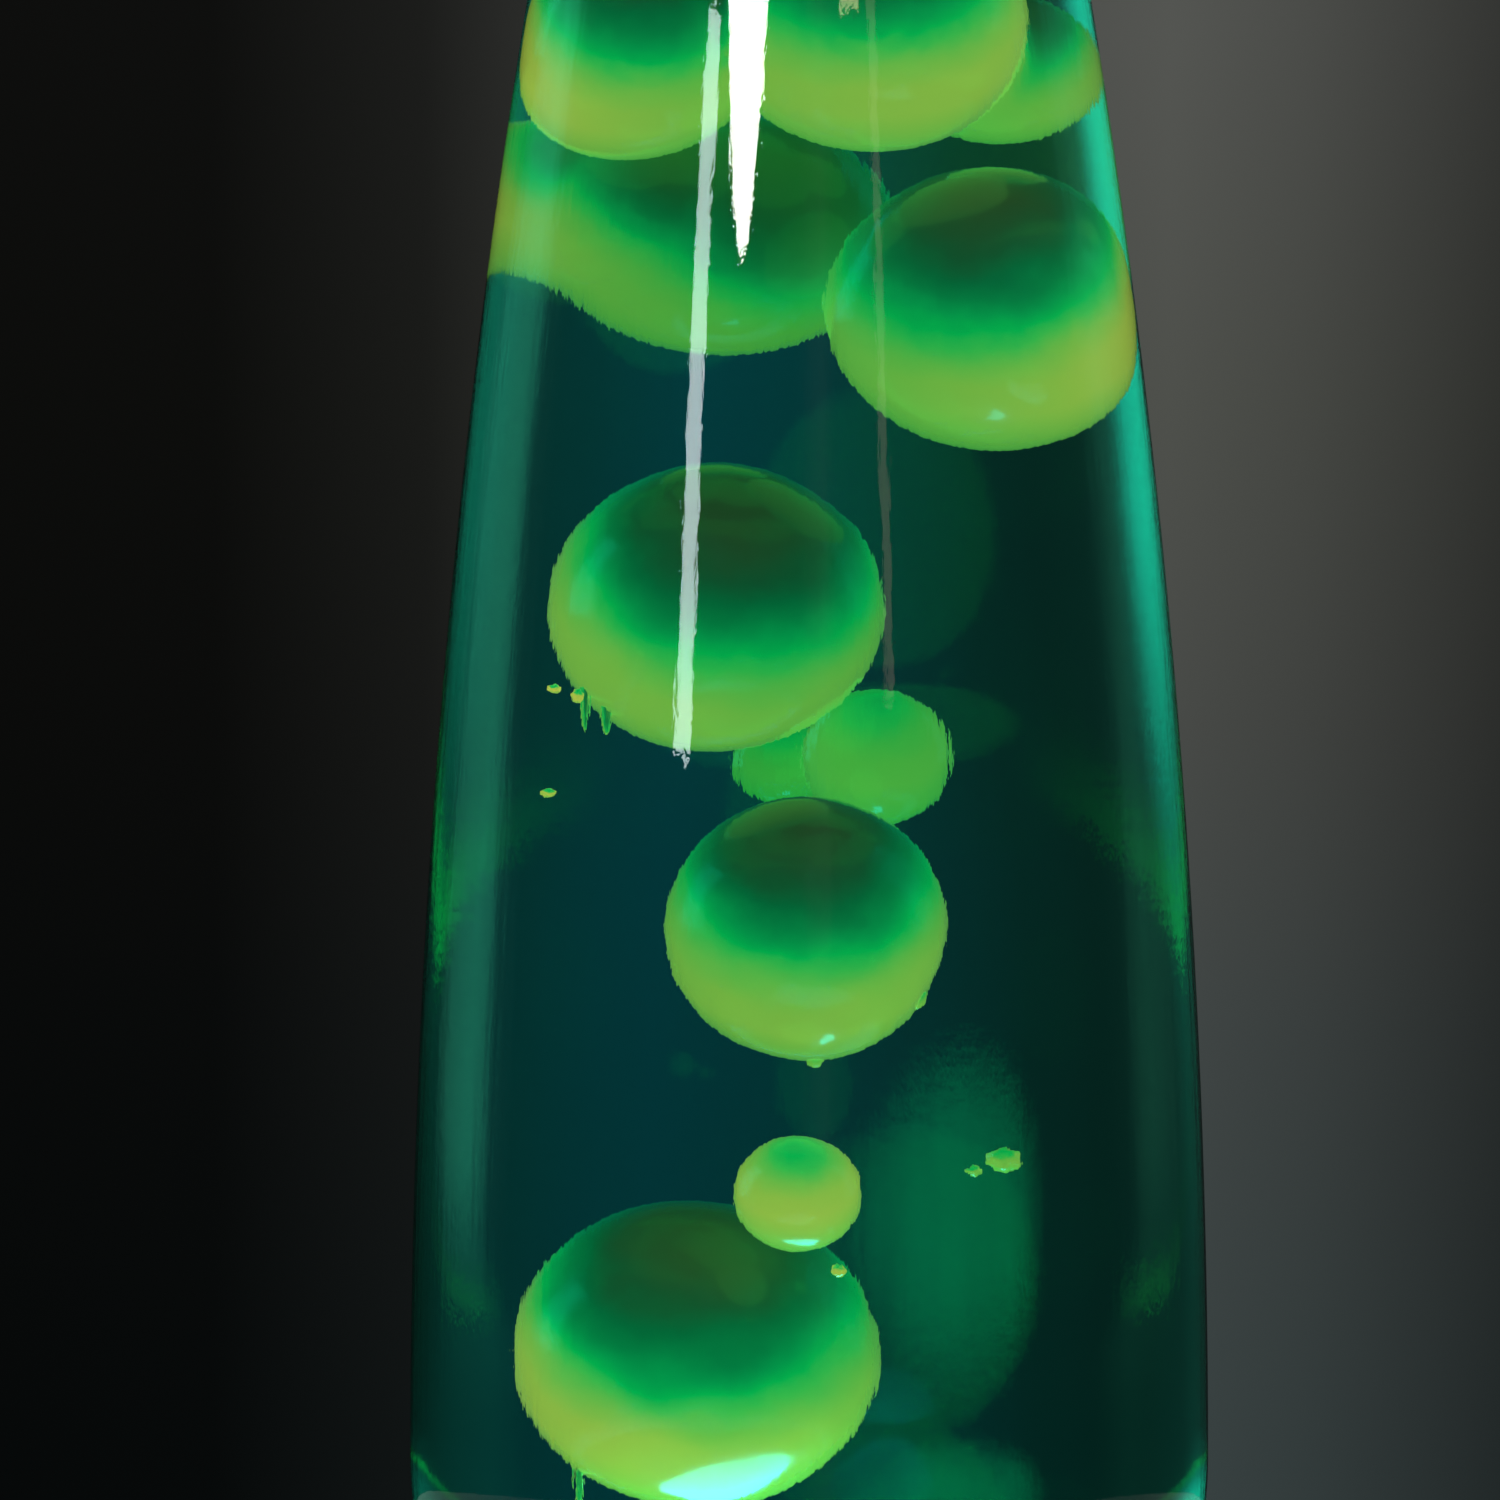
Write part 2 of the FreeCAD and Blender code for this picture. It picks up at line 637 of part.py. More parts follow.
def rivet_washers():
    """Return the two washers that match the strap's thickness under the other rivets."""
    low = CUP_FLOOR_Z - SHEET - STRAP_T
    rings = []
    for degrees, x, y in ring_places(4, RIVET_RING_R):
        if abs(y) > abs(x):
            ring = disc(RIVET_HEAD_R - HALF, low, low + STRAP_T, x, y)
            rings.append(ring.cut(disc(RIVET_R + RIVET_FIT, low, low + STRAP_T, x, y)))
    return Part.makeCompound(rings)


def seat_ring():
    """Return the ring in the cup that carries the globe."""
    top = GLASS_BOTTOM_Z - GASKET_T
    low = top - SEAT_FLANGE
    wall = SHEET + FEATHER

    def edge(z, deep=0.0):
        """Return the ring's outer radius against the cup, or a sheet inside it."""
        return cup_radius(z) - wall - deep

    return turned([
        (SEAT_INNER_R, top - SEAT_RING_T),
        (edge(top - SEAT_RING_T, SEAT_RING_T), top - SEAT_RING_T),
        (edge(low, SEAT_RING_T), low),
        (edge(low), low),
        (edge(top), top),
        (SEAT_INNER_R, top),
    ])


def seat_gasket():
    """Return the soft ring between the seat and the glass."""
    return tube(GASKET_OUTER_R, GASKET_INNER_R, GLASS_BOTTOM_Z - GASKET_T, GLASS_BOTTOM_Z)


def bottom_plate():
    """Return the vented plate under the skirt."""
    high = SKIRT_BOTTOM_Z
    low = high - PLATE_T
    tools = []
    for degrees, _, _ in ring_places(PLATE_VENTS, VENT_RING_R, 15.0):
        slot = box((VENT_RING_R - HALF * VENT_L, -HALF * VENT_W, low - 1.0),
                   (VENT_RING_R + HALF * VENT_L, HALF * VENT_W, high + 1.0))
        slot.rotate(ORIGIN, UP, degrees)
        tools.append(slot)
    for _, x, y in ring_places(PLATE_SCREWS, PLATE_SCREW_RING_R, 30.0):
        tools.append(disc(PLATE_SCREW_R + PLATE_SCREW_FIT, low - 1.0, high + 1.0, x, y))
    for _, x, y in ring_places(FEET, FOOT_RING_R, 45.0):
        tools.append(disc(FOOT_NECK_R + PLATE_SCREW_FIT, low - 1.0, high + 1.0, x, y))
    return solid_of(disc(PLATE_R, low, high).cut(joined(tools)))


def plate_screws():
    """Return the pan-head screws that hold the bottom plate."""
    high = SKIRT_BOTTOM_Z - PLATE_T
    screws = []
    for degrees, x, y in ring_places(PLATE_SCREWS, PLATE_SCREW_RING_R, 30.0):
        head = disc(PLATE_SCREW_HEAD_R, high - PLATE_SCREW_HEAD_H, high, x, y)
        shank = disc(PLATE_SCREW_R, high, high + PLATE_SCREW_LEN - 1.0, x, y)
        tip = Part.makeCone(PLATE_SCREW_R, HALF, 1.0, V(x, y, high + PLATE_SCREW_LEN - 1.0))
        screws.append(joined([head, shank, tip]).cut(cross_slot(x, y, high - PLATE_SCREW_HEAD_H, 1.0)))
    return Part.makeCompound(screws)


def cross_slot(x, y, z, direction):
    """Return the cross recess of a screw head that starts at z."""
    half_long = 1.6
    half_wide = 0.35
    depth = 0.9
    low = z - 0.1 if direction > 0 else z - depth
    high = z + depth if direction > 0 else z + 0.1
    first = box((x - half_long, y - half_wide, low), (x + half_long, y + half_wide, high))
    second = box((x - half_wide, y - half_long, low), (x + half_wide, y + half_long, high))
    return first.fuse(second)


def rubber_feet():
    """Return the push-in feet, each with a neck and a retaining bulb."""
    plate_low = SKIRT_BOTTOM_Z - PLATE_T
    feet = []
    for _, x, y in ring_places(FEET, FOOT_RING_R, 45.0):
        pad = Part.makeCone(FOOT_R - 1.0, FOOT_R, plate_low, V(x, y, 0))
        neck = disc(FOOT_NECK_R, plate_low, plate_low + PLATE_T + 0.1, x, y)
        bulb = Part.makeCone(FOOT_BULB_R, 1.0, 2.6, V(x, y, SKIRT_BOTTOM_Z + 0.1))
        feet.append(joined([pad, neck, bulb]))
    return Part.makeCompound(feet)


def cord_grommet():
    """Return the rubber inlet bush in the back of the skirt."""
    where, normal = inlet_axis()
    groove = HALF * GROMMET_GROOVE
    flange = groove + GROMMET_FLANGE_T
    bush = turned([
        (GROMMET_HOLE_R, -flange),
        (GROMMET_FLANGE_R, -flange),
        (GROMMET_FLANGE_R, -groove),
        (GROMMET_NECK_R, -groove),
        (GROMMET_NECK_R, groove),
        (GROMMET_FLANGE_R, groove),
        (GROMMET_FLANGE_R - HALF, flange),
        (GROMMET_HOLE_R, flange),
    ])
    middle = where - normal * (HALF * SHEET + GROMMET_SET)
    bush.Placement = FreeCAD.Placement(middle, FreeCAD.Rotation(UP, normal))
    return bush


# ================================================================ lamp holder
def socket_bracket():
    """Return the U strap that hangs the holder from the waist."""
    high = CUP_FLOOR_Z - SHEET
    low = HOUSING_Z - STRAP_T
    outer = STRAP_LEG_X + STRAP_T
    half = HALF * STRAP_W
    parts = [box((-outer, -half, low), (outer, half, HOUSING_Z))]
    for side in (-1.0, 1.0):
        xs = sorted((side * STRAP_LEG_X, side * outer))
        parts.append(box((xs[0], -half, low), (xs[1], half, high)))
        xs = sorted((side * STRAP_LEG_X, side * (STRAP_LEG_X + STRAP_TAB)))
        parts.append(box((xs[0], -HALF * half, high - STRAP_T), (xs[1], HALF * half, high)))
    strap = joined(parts)
    strap = strap.cut(joined(rivet_holes(high - 3.0, high + 1.0)))
    return solid_of(strap.cut(disc(NIPPLE_R + NIPPLE_FIT, low - 1.0, HOUSING_Z + 1.0)))


def threaded_nipple():
    """Return the hollow threaded tube under the holder."""
    return tube(NIPPLE_R, NIPPLE_BORE_R, NIPPLE_BOTTOM_Z, NIPPLE_TOP_Z)


def nipple_nut():
    """Return the hexagon nut that clamps the holder to the strap."""
    high = HOUSING_Z - STRAP_T - WASHER_T
    corner = HALF * NUT_FLATS / math.cos(math.radians(30.0))
    corners = [V(x, y, high - NUT_H) for _, x, y in ring_places(6, corner)]
    body = Part.Face(Part.makePolygon(corners + [corners[0]])).extrude(V(0, 0, NUT_H))
    return solid_of(body.cut(disc(NIPPLE_R + NIPPLE_FIT, high - NUT_H, high)))


def nipple_washer():
    """Return the washer between the nut and the strap."""
    high = HOUSING_Z - STRAP_T
    return tube(WASHER_R, NIPPLE_R + NIPPLE_FIT, high - WASHER_T, high)


def socket_housing():
    """Return the moulded holder body with two flats for its terminals."""
    body = disc(HOUSING_R, HOUSING_Z, HOUSING_TOP_Z)
    body = body.cut(disc(HOUSING_BORE_R, HOUSING_Z + HOUSING_FLOOR, HOUSING_TOP_Z))
    body = body.cut(disc(NIPPLE_R + NIPPLE_FIT, HOUSING_Z, HOUSING_Z + HOUSING_FLOOR))
    high = HOUSING_Z + TERMINAL_H + 1.0
    flat = HOUSING_R - TERMINAL_T - 0.6
    for side in (-1.0, 1.0):
        ys = sorted((side * flat, side * (HOUSING_R + 1.0)))
        body = body.cut(box((-HOUSING_R, ys[0], HOUSING_Z), (HOUSING_R, ys[1], high)))
        start = V(0, side * (flat - 2.4), HOUSING_Z + HALF * TERMINAL_H)
        body = body.cut(Part.makeCylinder(TERMINAL_SCREW_R + 0.1, 4.0, start, V(0, side, 0)))
    return solid_of(body)


def thread_ridge(inner_r, outer_r, crest_r, crest_w, start_z, height):
    """Return a helical ridge with sloping flanks.

    Args:
        inner_r: least radius of the ridge's section.
        outer_r: greatest radius of the ridge's section.
        crest_r: the radius at which the crest is.
        crest_w: width of the crest.
        start_z: height of the section's middle at the start.
        height: how far it climbs.

    Returns:
        The ridge as a solid.
    """
    spread = abs(outer_r - inner_r) * THREAD_FLANK
    root_r = inner_r if crest_r == outer_r else outer_r
    corners = [
        V(crest_r, 0, start_z - HALF * crest_w),
        V(crest_r, 0, start_z + HALF * crest_w),
        V(root_r, 0, start_z + HALF * crest_w + spread),
        V(root_r, 0, start_z - HALF * crest_w - spread),
    ]
    section = Part.makePolygon(corners + [corners[0]])
    helix = Part.makeHelix(THREAD_PITCH, height, HALF * (inner_r + outer_r))
    helix.translate(V(0, 0, start_z))
    sweep = Part.BRepOffsetAPI.MakePipeShell(Part.Wire(helix.Edges))
    sweep.setFrenetMode(True)
    sweep.add(section, False, False)
    sweep.build()
    sweep.makeSolid()
    return solid_of(sweep.shape())


def socket_shell():
    """Return the holder's threaded sleeve."""
    low = HOLDER_SHELL_BOTTOM_Z
    high = HOLDER_SHELL_TOP_Z
    sleeve = tube(HOLDER_SHELL_R, THREAD_FEMALE_ROOT_R, low, high)
    start = SHELL_BOTTOM_Z + THREAD_PITCH * HALF + 1.0
    climb = high - start - THREAD_PITCH * HALF
    ridge = thread_ridge(THREAD_FEMALE_CREST_R, THREAD_FEMALE_ROOT_R + 0.2, THREAD_FEMALE_CREST_R,
                         THREAD_FEMALE_CREST_W, start, climb)
    return solid_of(sleeve.fuse(ridge))


def centre_contact():
    """Return the holder's centre contact, a folded leaf."""
    low = HOUSING_Z + HOUSING_FLOOR
    high = BULB_TIP_Z - CONTACT_GAP
    leaf = 0.5
    foot = box((-6.0, -2.0, low), (2.5, 2.0, low + leaf))
    riser = box((2.0, -2.0, low), (2.5, 2.0, high))
    pad = box((-2.5, -2.0, high - leaf), (2.5, 2.0, high))
    return solid_of(joined([foot, riser, pad]))


def socket_terminals():
    """Return the two brass terminal plates."""
    flat = HOUSING_R - TERMINAL_T - 0.6
    plates = []
    for side in (-1.0, 1.0):
        ys = sorted((side * flat, side * (flat + TERMINAL_T)))
        half = HALF * TERMINAL_W
        plate = box((-half, ys[0], HOUSING_Z + HALF), (half, ys[1], HOUSING_Z + TERMINAL_H))
        start = V(0, side * (flat - 1.0), HOUSING_Z + HALF * TERMINAL_H)
        plates.append(plate.cut(Part.makeCylinder(TERMINAL_SCREW_R + 0.1, 4.0, start, V(0, side, 0))))
    return Part.makeCompound(plates)


def terminal_screws():
    """Return the two slotted terminal screws."""
    face = HOUSING_R - 0.6
    screws = []
    for side in (-1.0, 1.0):
        away = V(0, side, 0)
        z = HOUSING_Z + HALF * TERMINAL_H
        shank = Part.makeCylinder(TERMINAL_SCREW_R, 3.2, V(0, side * (face - 3.2), z), away)
        head = Part.makeCylinder(TERMINAL_HEAD_R, 1.6, V(0, side * face, z), away)
        ys = sorted((side * (face + 0.9), side * (face + 2.0)))
        slot = box((-TERMINAL_HEAD_R, ys[0], z - 0.3), (TERMINAL_HEAD_R, ys[1], z + 0.3))
        screws.append(shank.fuse(head).cut(slot))
    return Part.makeCompound(screws)


# ================================================================ bulb
def envelope_edges(inset):
    """Return one face of the bulb's glass from its neck to the middle of the front."""
    start = (ENVELOPE_NECK_R - inset, ENVELOPE_BOTTOM_Z)
    lead = [("line", ENVELOPE_NECK_LEN), ("arc", FLARE_R + inset, -FLARE_TURN)]
    _, reached = walk((ENVELOPE_NECK_R, ENVELOPE_BOTTOM_Z), 90.0,
                      [("line", ENVELOPE_NECK_LEN), ("arc", FLARE_R, -FLARE_TURN)])
    widen = BULB_EDGE_R * (1.0 - math.cos(math.radians(FLARE_TURN)))
    cone = (BULB_R - widen - reached[0]) / math.sin(math.radians(FLARE_TURN))
    moves = lead + [("line", cone), ("arc", BULB_EDGE_R - inset, BULB_EDGE_TURN)]
    edges, edge_end = walk(start, 90.0, moves)
    heading = 90.0 - FLARE_TURN + BULB_EDGE_TURN
    front_r = edge_end[0] / math.sin(math.radians(heading))
    front, end = walk(edge_end, heading, [("arc", front_r, 180.0 - heading)])
    return edges + front, start, end


def bulb_envelope():
    """Return the reflector bulb's thin glass."""
    outer, outer_start, outer_end = envelope_edges(0.0)
    inner, inner_start, inner_end = envelope_edges(ENVELOPE_WALL)
    closing = lines([(0.0, outer_end[1]), (0.0, inner_end[1])])
    closing += lines([inner_start, outer_start])
    return spun(outer + inner + closing)


def bulb_shell():
    """Return the bulb's screw cap with its rolled thread and collar."""
    low = SHELL_BOTTOM_Z
    bore = THREAD_MALE_ROOT_R - SHELL_WALL
    sleeve = turned([
        (bore, low),
        (THREAD_MALE_ROOT_R - HALF * SHELL_WALL, low),
        (THREAD_MALE_ROOT_R, low + HALF),
        (THREAD_MALE_ROOT_R, SHELL_TOP_Z),
        (COLLAR_R, SHELL_TOP_Z + 0.6),
        (COLLAR_R, COLLAR_TOP_Z),
        (COLLAR_R - SHELL_WALL, COLLAR_TOP_Z),
        (COLLAR_R - SHELL_WALL, ENVELOPE_BOTTOM_Z - 0.1),
        (bore, ENVELOPE_BOTTOM_Z - 0.1),
    ])
    start = SHELL_BOTTOM_Z + 1.0
    climb = SHELL_TOP_Z - start - THREAD_PITCH * HALF
    ridge = thread_ridge(THREAD_MALE_ROOT_R - 0.2, THREAD_MALE_CREST_R, THREAD_MALE_CREST_R,
                         THREAD_MALE_CREST_W, start, climb)
    return solid_of(sleeve.fuse(ridge))


def bulb_insulator():
    """Return the dark glass insulator between the shell and the tip."""
    return turned([
        (TIP_R * HALF, BULB_TIP_Z + TIP_H),
        (TIP_R + HALF, BULB_TIP_Z + TIP_H),
        (INSULATOR_TOP_R, SHELL_BOTTOM_Z),
        (INSULATOR_TOP_R, SHELL_BOTTOM_Z + 1.2),
        (TIP_R * HALF, SHELL_BOTTOM_Z + 1.2),
    ])


def bulb_tip():
    """Return the solder contact at the end of the bulb."""
    tip = Part.makeCone(TIP_R - 0.8, TIP_R, TIP_H, V(0, 0, BULB_TIP_Z))
    return solid_of(tip.fuse(disc(TIP_R * HALF - 0.1, BULB_TIP_Z + TIP_H, SHELL_BOTTOM_Z + 1.0)))


def bulb_stem():
    """Return the glass stem inside the bulb's neck."""
    low = ENVELOPE_BOTTOM_Z + 1.0
    return turned([
        (0.0, low),
        (ENVELOPE_NECK_R - ENVELOPE_WALL - 0.1, low),
        (ENVELOPE_NECK_R - ENVELOPE_WALL - 0.1, low + 1.0),
        (STEM_R * HALF, low + 3.0),
        (STEM_R * HALF, STEM_TOP_Z),
        (0.0, STEM_TOP_Z),
    ])


def bulb_leads():
    """Return the two wires that carry the filament."""
    wires = []
    foot_x = STEM_R * HALF + LEAD_R + 0.1
    for side in (-1.0, 1.0):
        low = V(side * foot_x, 0, ENVELOPE_BOTTOM_Z + 5.0)
        knee = V(side * foot_x, 0, STEM_TOP_Z)
        top = V(side * FILAMENT_R, 0, FILAMENT_Z)
        first = Part.makeCylinder(LEAD_R, (knee - low).Length, low, knee - low)
        second = Part.makeCylinder(LEAD_R, (top - knee).Length, knee, top - knee)
        wires.append(joined([first, Part.makeSphere(LEAD_R, knee), second]))
    return Part.makeCompound(wires)


def bulb_filament():
    """Return the filament, an arc of fine coil drawn as one wire."""
    rise = 1.6
    clear = FILAMENT_R - LEAD_R - 0.3
    bow = Part.Arc(V(-clear, 0, FILAMENT_Z), V(0, rise, FILAMENT_Z + rise), V(clear, 0, FILAMENT_Z)).toShape()
    spine = Part.Wire([bow])
    start = bow.valueAt(bow.FirstParameter)
    along = bow.tangentAt(bow.FirstParameter)
    ring = Part.Wire([Part.makeCircle(3.0 * FILAMENT_WIRE_R, start, along)])
    return solid_of(spine.makePipeShell([ring], True, True))


# ================================================================ output
def main():
    """Build and write every sub-part."""
    makers = {
        "glass_globe": glass_globe,
        "liquid_fill": liquid_fill,
        "wax_pool": wax_pool,
        "wax_top": wax_top,
        "wax_blob_back": wax_blob_back,
        "wax_beads": wax_beads,
        "heating_coil": heating_coil,
        "crown_cap": crown_cap,
        "crown_liner": crown_liner,
        "top_cap": top_cap,
        "cap_pad": cap_pad,
        "upper_cup": upper_cup,
        "lower_skirt": lower_skirt,
        "waist_rivets": waist_rivets,
        "rivet_washers": rivet_washers,
        "seat_ring": seat_ring,
        "seat_gasket": seat_gasket,
        "bottom_plate": bottom_plate,
        "plate_screws": plate_screws,
        "rubber_feet": rubber_feet,
        "cord_grommet": cord_grommet,
        "socket_bracket": socket_bracket,
        "threaded_nipple": threaded_nipple,
        "nipple_nut": nipple_nut,
        "nipple_washer": nipple_washer,
        "socket_housing": socket_housing,
        "socket_shell": socket_shell,
        "centre_contact": centre_contact,
        "socket_terminals": socket_terminals,
        "terminal_screws": terminal_screws,
        "bulb_envelope": bulb_envelope,
        "bulb_shell": bulb_shell,
        "bulb_insulator": bulb_insulator,
        "bulb_tip": bulb_tip,
        "bulb_stem": bulb_stem,
        "bulb_leads": bulb_leads,
        "bulb_filament": bulb_filament,
    }
    for name, make in makers.items():
        export(name, make())
    for name, place in BLOBS.items():
        export(name, ellipsoid(place))


main()
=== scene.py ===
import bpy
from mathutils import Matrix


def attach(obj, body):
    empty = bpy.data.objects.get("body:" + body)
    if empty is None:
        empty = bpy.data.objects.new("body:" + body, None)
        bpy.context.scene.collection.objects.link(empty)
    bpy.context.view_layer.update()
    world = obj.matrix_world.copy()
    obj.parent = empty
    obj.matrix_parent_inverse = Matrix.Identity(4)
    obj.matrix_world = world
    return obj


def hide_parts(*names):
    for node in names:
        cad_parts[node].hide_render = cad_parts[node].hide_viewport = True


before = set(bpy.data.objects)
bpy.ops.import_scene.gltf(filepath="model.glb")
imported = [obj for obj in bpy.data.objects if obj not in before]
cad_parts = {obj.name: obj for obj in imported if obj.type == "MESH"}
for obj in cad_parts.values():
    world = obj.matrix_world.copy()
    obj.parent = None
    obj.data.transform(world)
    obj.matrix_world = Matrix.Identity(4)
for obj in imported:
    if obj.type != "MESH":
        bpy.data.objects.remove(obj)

"""A lit lava lamp: clear glass globe of dyed liquid and lime wax, between a spun aluminium base and cap."""

import logging
import math
from dataclasses import dataclass, field
from enum import Enum

import bmesh
import bpy
from mathutils import Matrix, Vector, noise

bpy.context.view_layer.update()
LOG = logging.getLogger("lava_lamp")
Point = tuple[float, float]
Colour = tuple[float, float, float]
ROUND = 160                      # steps of a full turn on the large spun pieces
FINE_ROUND = 192                 # the same for the globe and its liquid
DUST = (0.42, 0.41, 0.39, 1.0)   # colour of settled dust
NO_LIGHT = (0.0, 0.0, 0.0, 1.0)


# ---------------------------------------------------------------- node helpers
def shade(colour: Colour, factor: float = 1.0) -> tuple[float, ...]:
    """Return a colour scaled by a factor, with full alpha."""
    return (*(part * factor for part in colour), 1.0)


class Board:
    """A node tree with short ways to add and join its nodes."""

    def __init__(self, tree: bpy.types.NodeTree) -> None:
        """Start with a tree."""
        self.tree = tree

    def add(self, kind: str, inputs: dict | None = None, **settings: object) -> bpy.types.Node:
        """Add a node.

        Args:
            kind: the node's type, without "ShaderNode".
            inputs: values or sockets for its inputs, by name or index.
            settings: the node's own properties.

        Returns:
            The new node.
        """
        node = self.tree.nodes.new("ShaderNode" + kind)
        for name, value in settings.items():
            setattr(node, name, value)
        for name, value in (inputs or {}).items():
            self.put(value, node.inputs[name])
        return node

    def put(self, value: object, socket: bpy.types.NodeSocket) -> None:
        """Join a socket, or set a plain value."""
        if isinstance(value, bpy.types.NodeSocket):
            self.tree.links.new(value, socket)
        else:
            socket.default_value = value

    def math(self, operation: str, first: object, second: object = 0.0,
             clamp: bool = False) -> bpy.types.NodeSocket:
        """Return the result of a Math node."""
        node = self.add("Math", {0: first, 1: second}, operation=operation, use_clamp=clamp)
        return node.outputs[0]

    def remap(self, value: object, low: float, high: float, to_low: float = 0.0, to_high: float = 1.0,
              smooth: bool = False) -> bpy.types.NodeSocket:
        """Return a value carried from one range to another and held inside it."""
        kind = "SMOOTHSTEP" if smooth else "LINEAR"
        names = {"Value": value, "From Min": low, "From Max": high, "To Min": to_low, "To Max": to_high}
        return self.add("MapRange", names, interpolation_type=kind).outputs["Result"]

    def noise(self, vector: object, scale: float, detail: float = 3.0,
              roughness: float = 0.5) -> bpy.types.NodeSocket:
        """Return the value of a Noise texture."""
        names = {"Vector": vector, "Scale": scale, "Detail": detail, "Roughness": roughness}
        return self.add("TexNoise", names).outputs["Fac"]

    def stretch(self, vector: object, scale: tuple[float, float, float]) -> bpy.types.NodeSocket:
        """Return a vector scaled along each axis."""
        return self.add("Mapping", {"Vector": vector, "Scale": scale}).outputs["Vector"]

    def blend(self, share: object, first: object, second: object) -> bpy.types.NodeSocket:
        """Return a mix of two colours."""
        node = self.add("Mix", {0: share}, data_type="RGBA")
        self.put(first, node.inputs[6])
        self.put(second, node.inputs[7])
        return node.outputs[2]

    def ramp(self, value: object, stops: list[tuple[float, Colour]]) -> bpy.types.NodeSocket:
        """Return a colour looked up on a ramp."""
        node = self.add("ValToRGB", {0: value})
        elements = node.color_ramp.elements
        while len(elements) < len(stops):
            elements.new(0.5)
        for element, (place, colour) in zip(elements, stops):
            element.position = place
            element.color = (*colour, 1.0)
        return node.outputs["Color"]

    def bump(self, height: object, strength: float, distance: float) -> bpy.types.NodeSocket:
        """Return a normal bent by a height."""
        names = {"Height": height, "Strength": strength, "Distance": distance}
        return self.add("Bump", names).outputs["Normal"]

    def sum(self, first: object, second: object) -> bpy.types.NodeSocket:
        """Return the sum of two colours, without a limit."""
        return self.add("VectorMath", {0: first, 1: second}, operation="ADD").outputs[0]

    def scale(self, colour: object, factor: object) -> bpy.types.NodeSocket:
        """Return a colour times a number, without a limit."""
        return self.add("VectorMath", {0: colour, 3: factor}, operation="SCALE").outputs[0]


def new_material(name: str) -> tuple[bpy.types.Material, Board, bpy.types.Node]:
    """Make a material with a Principled shader.

    Args:
        name: the finish's name.

    Returns:
        The material, its board and its shader node.
    """
    material = bpy.data.materials.new(name)
    material.use_nodes = True
    board = Board(material.node_tree)
    return material, board, material.node_tree.nodes["Principled BSDF"]


def group(name: str, inputs: dict[str, float],
          outputs: list[str]) -> tuple[bpy.types.NodeTree, Board, bpy.types.Node, bpy.types.Node]:
    """Start a shader node group that reads Object coordinates given to it.

    Args:
        name: the group's name.
        inputs: its number inputs and their defaults.
        outputs: its number outputs.

    Returns:
        The group, its board and its input and output nodes.
    """
    tree = bpy.data.node_groups.new(name, "ShaderNodeTree")
    tree.interface.new_socket("Vector", in_out="INPUT", socket_type="NodeSocketVector")
    for key, value in inputs.items():
        socket = tree.interface.new_socket(key, in_out="INPUT", socket_type="NodeSocketFloat")
        socket.default_value = value
    for key in outputs:
        tree.interface.new_socket(key, in_out="OUTPUT", socket_type="NodeSocketFloat")
    board = Board(tree)
    source = tree.nodes.new("NodeGroupInput")
    sink = tree.nodes.new("NodeGroupOutput")
    return tree, board, source, sink


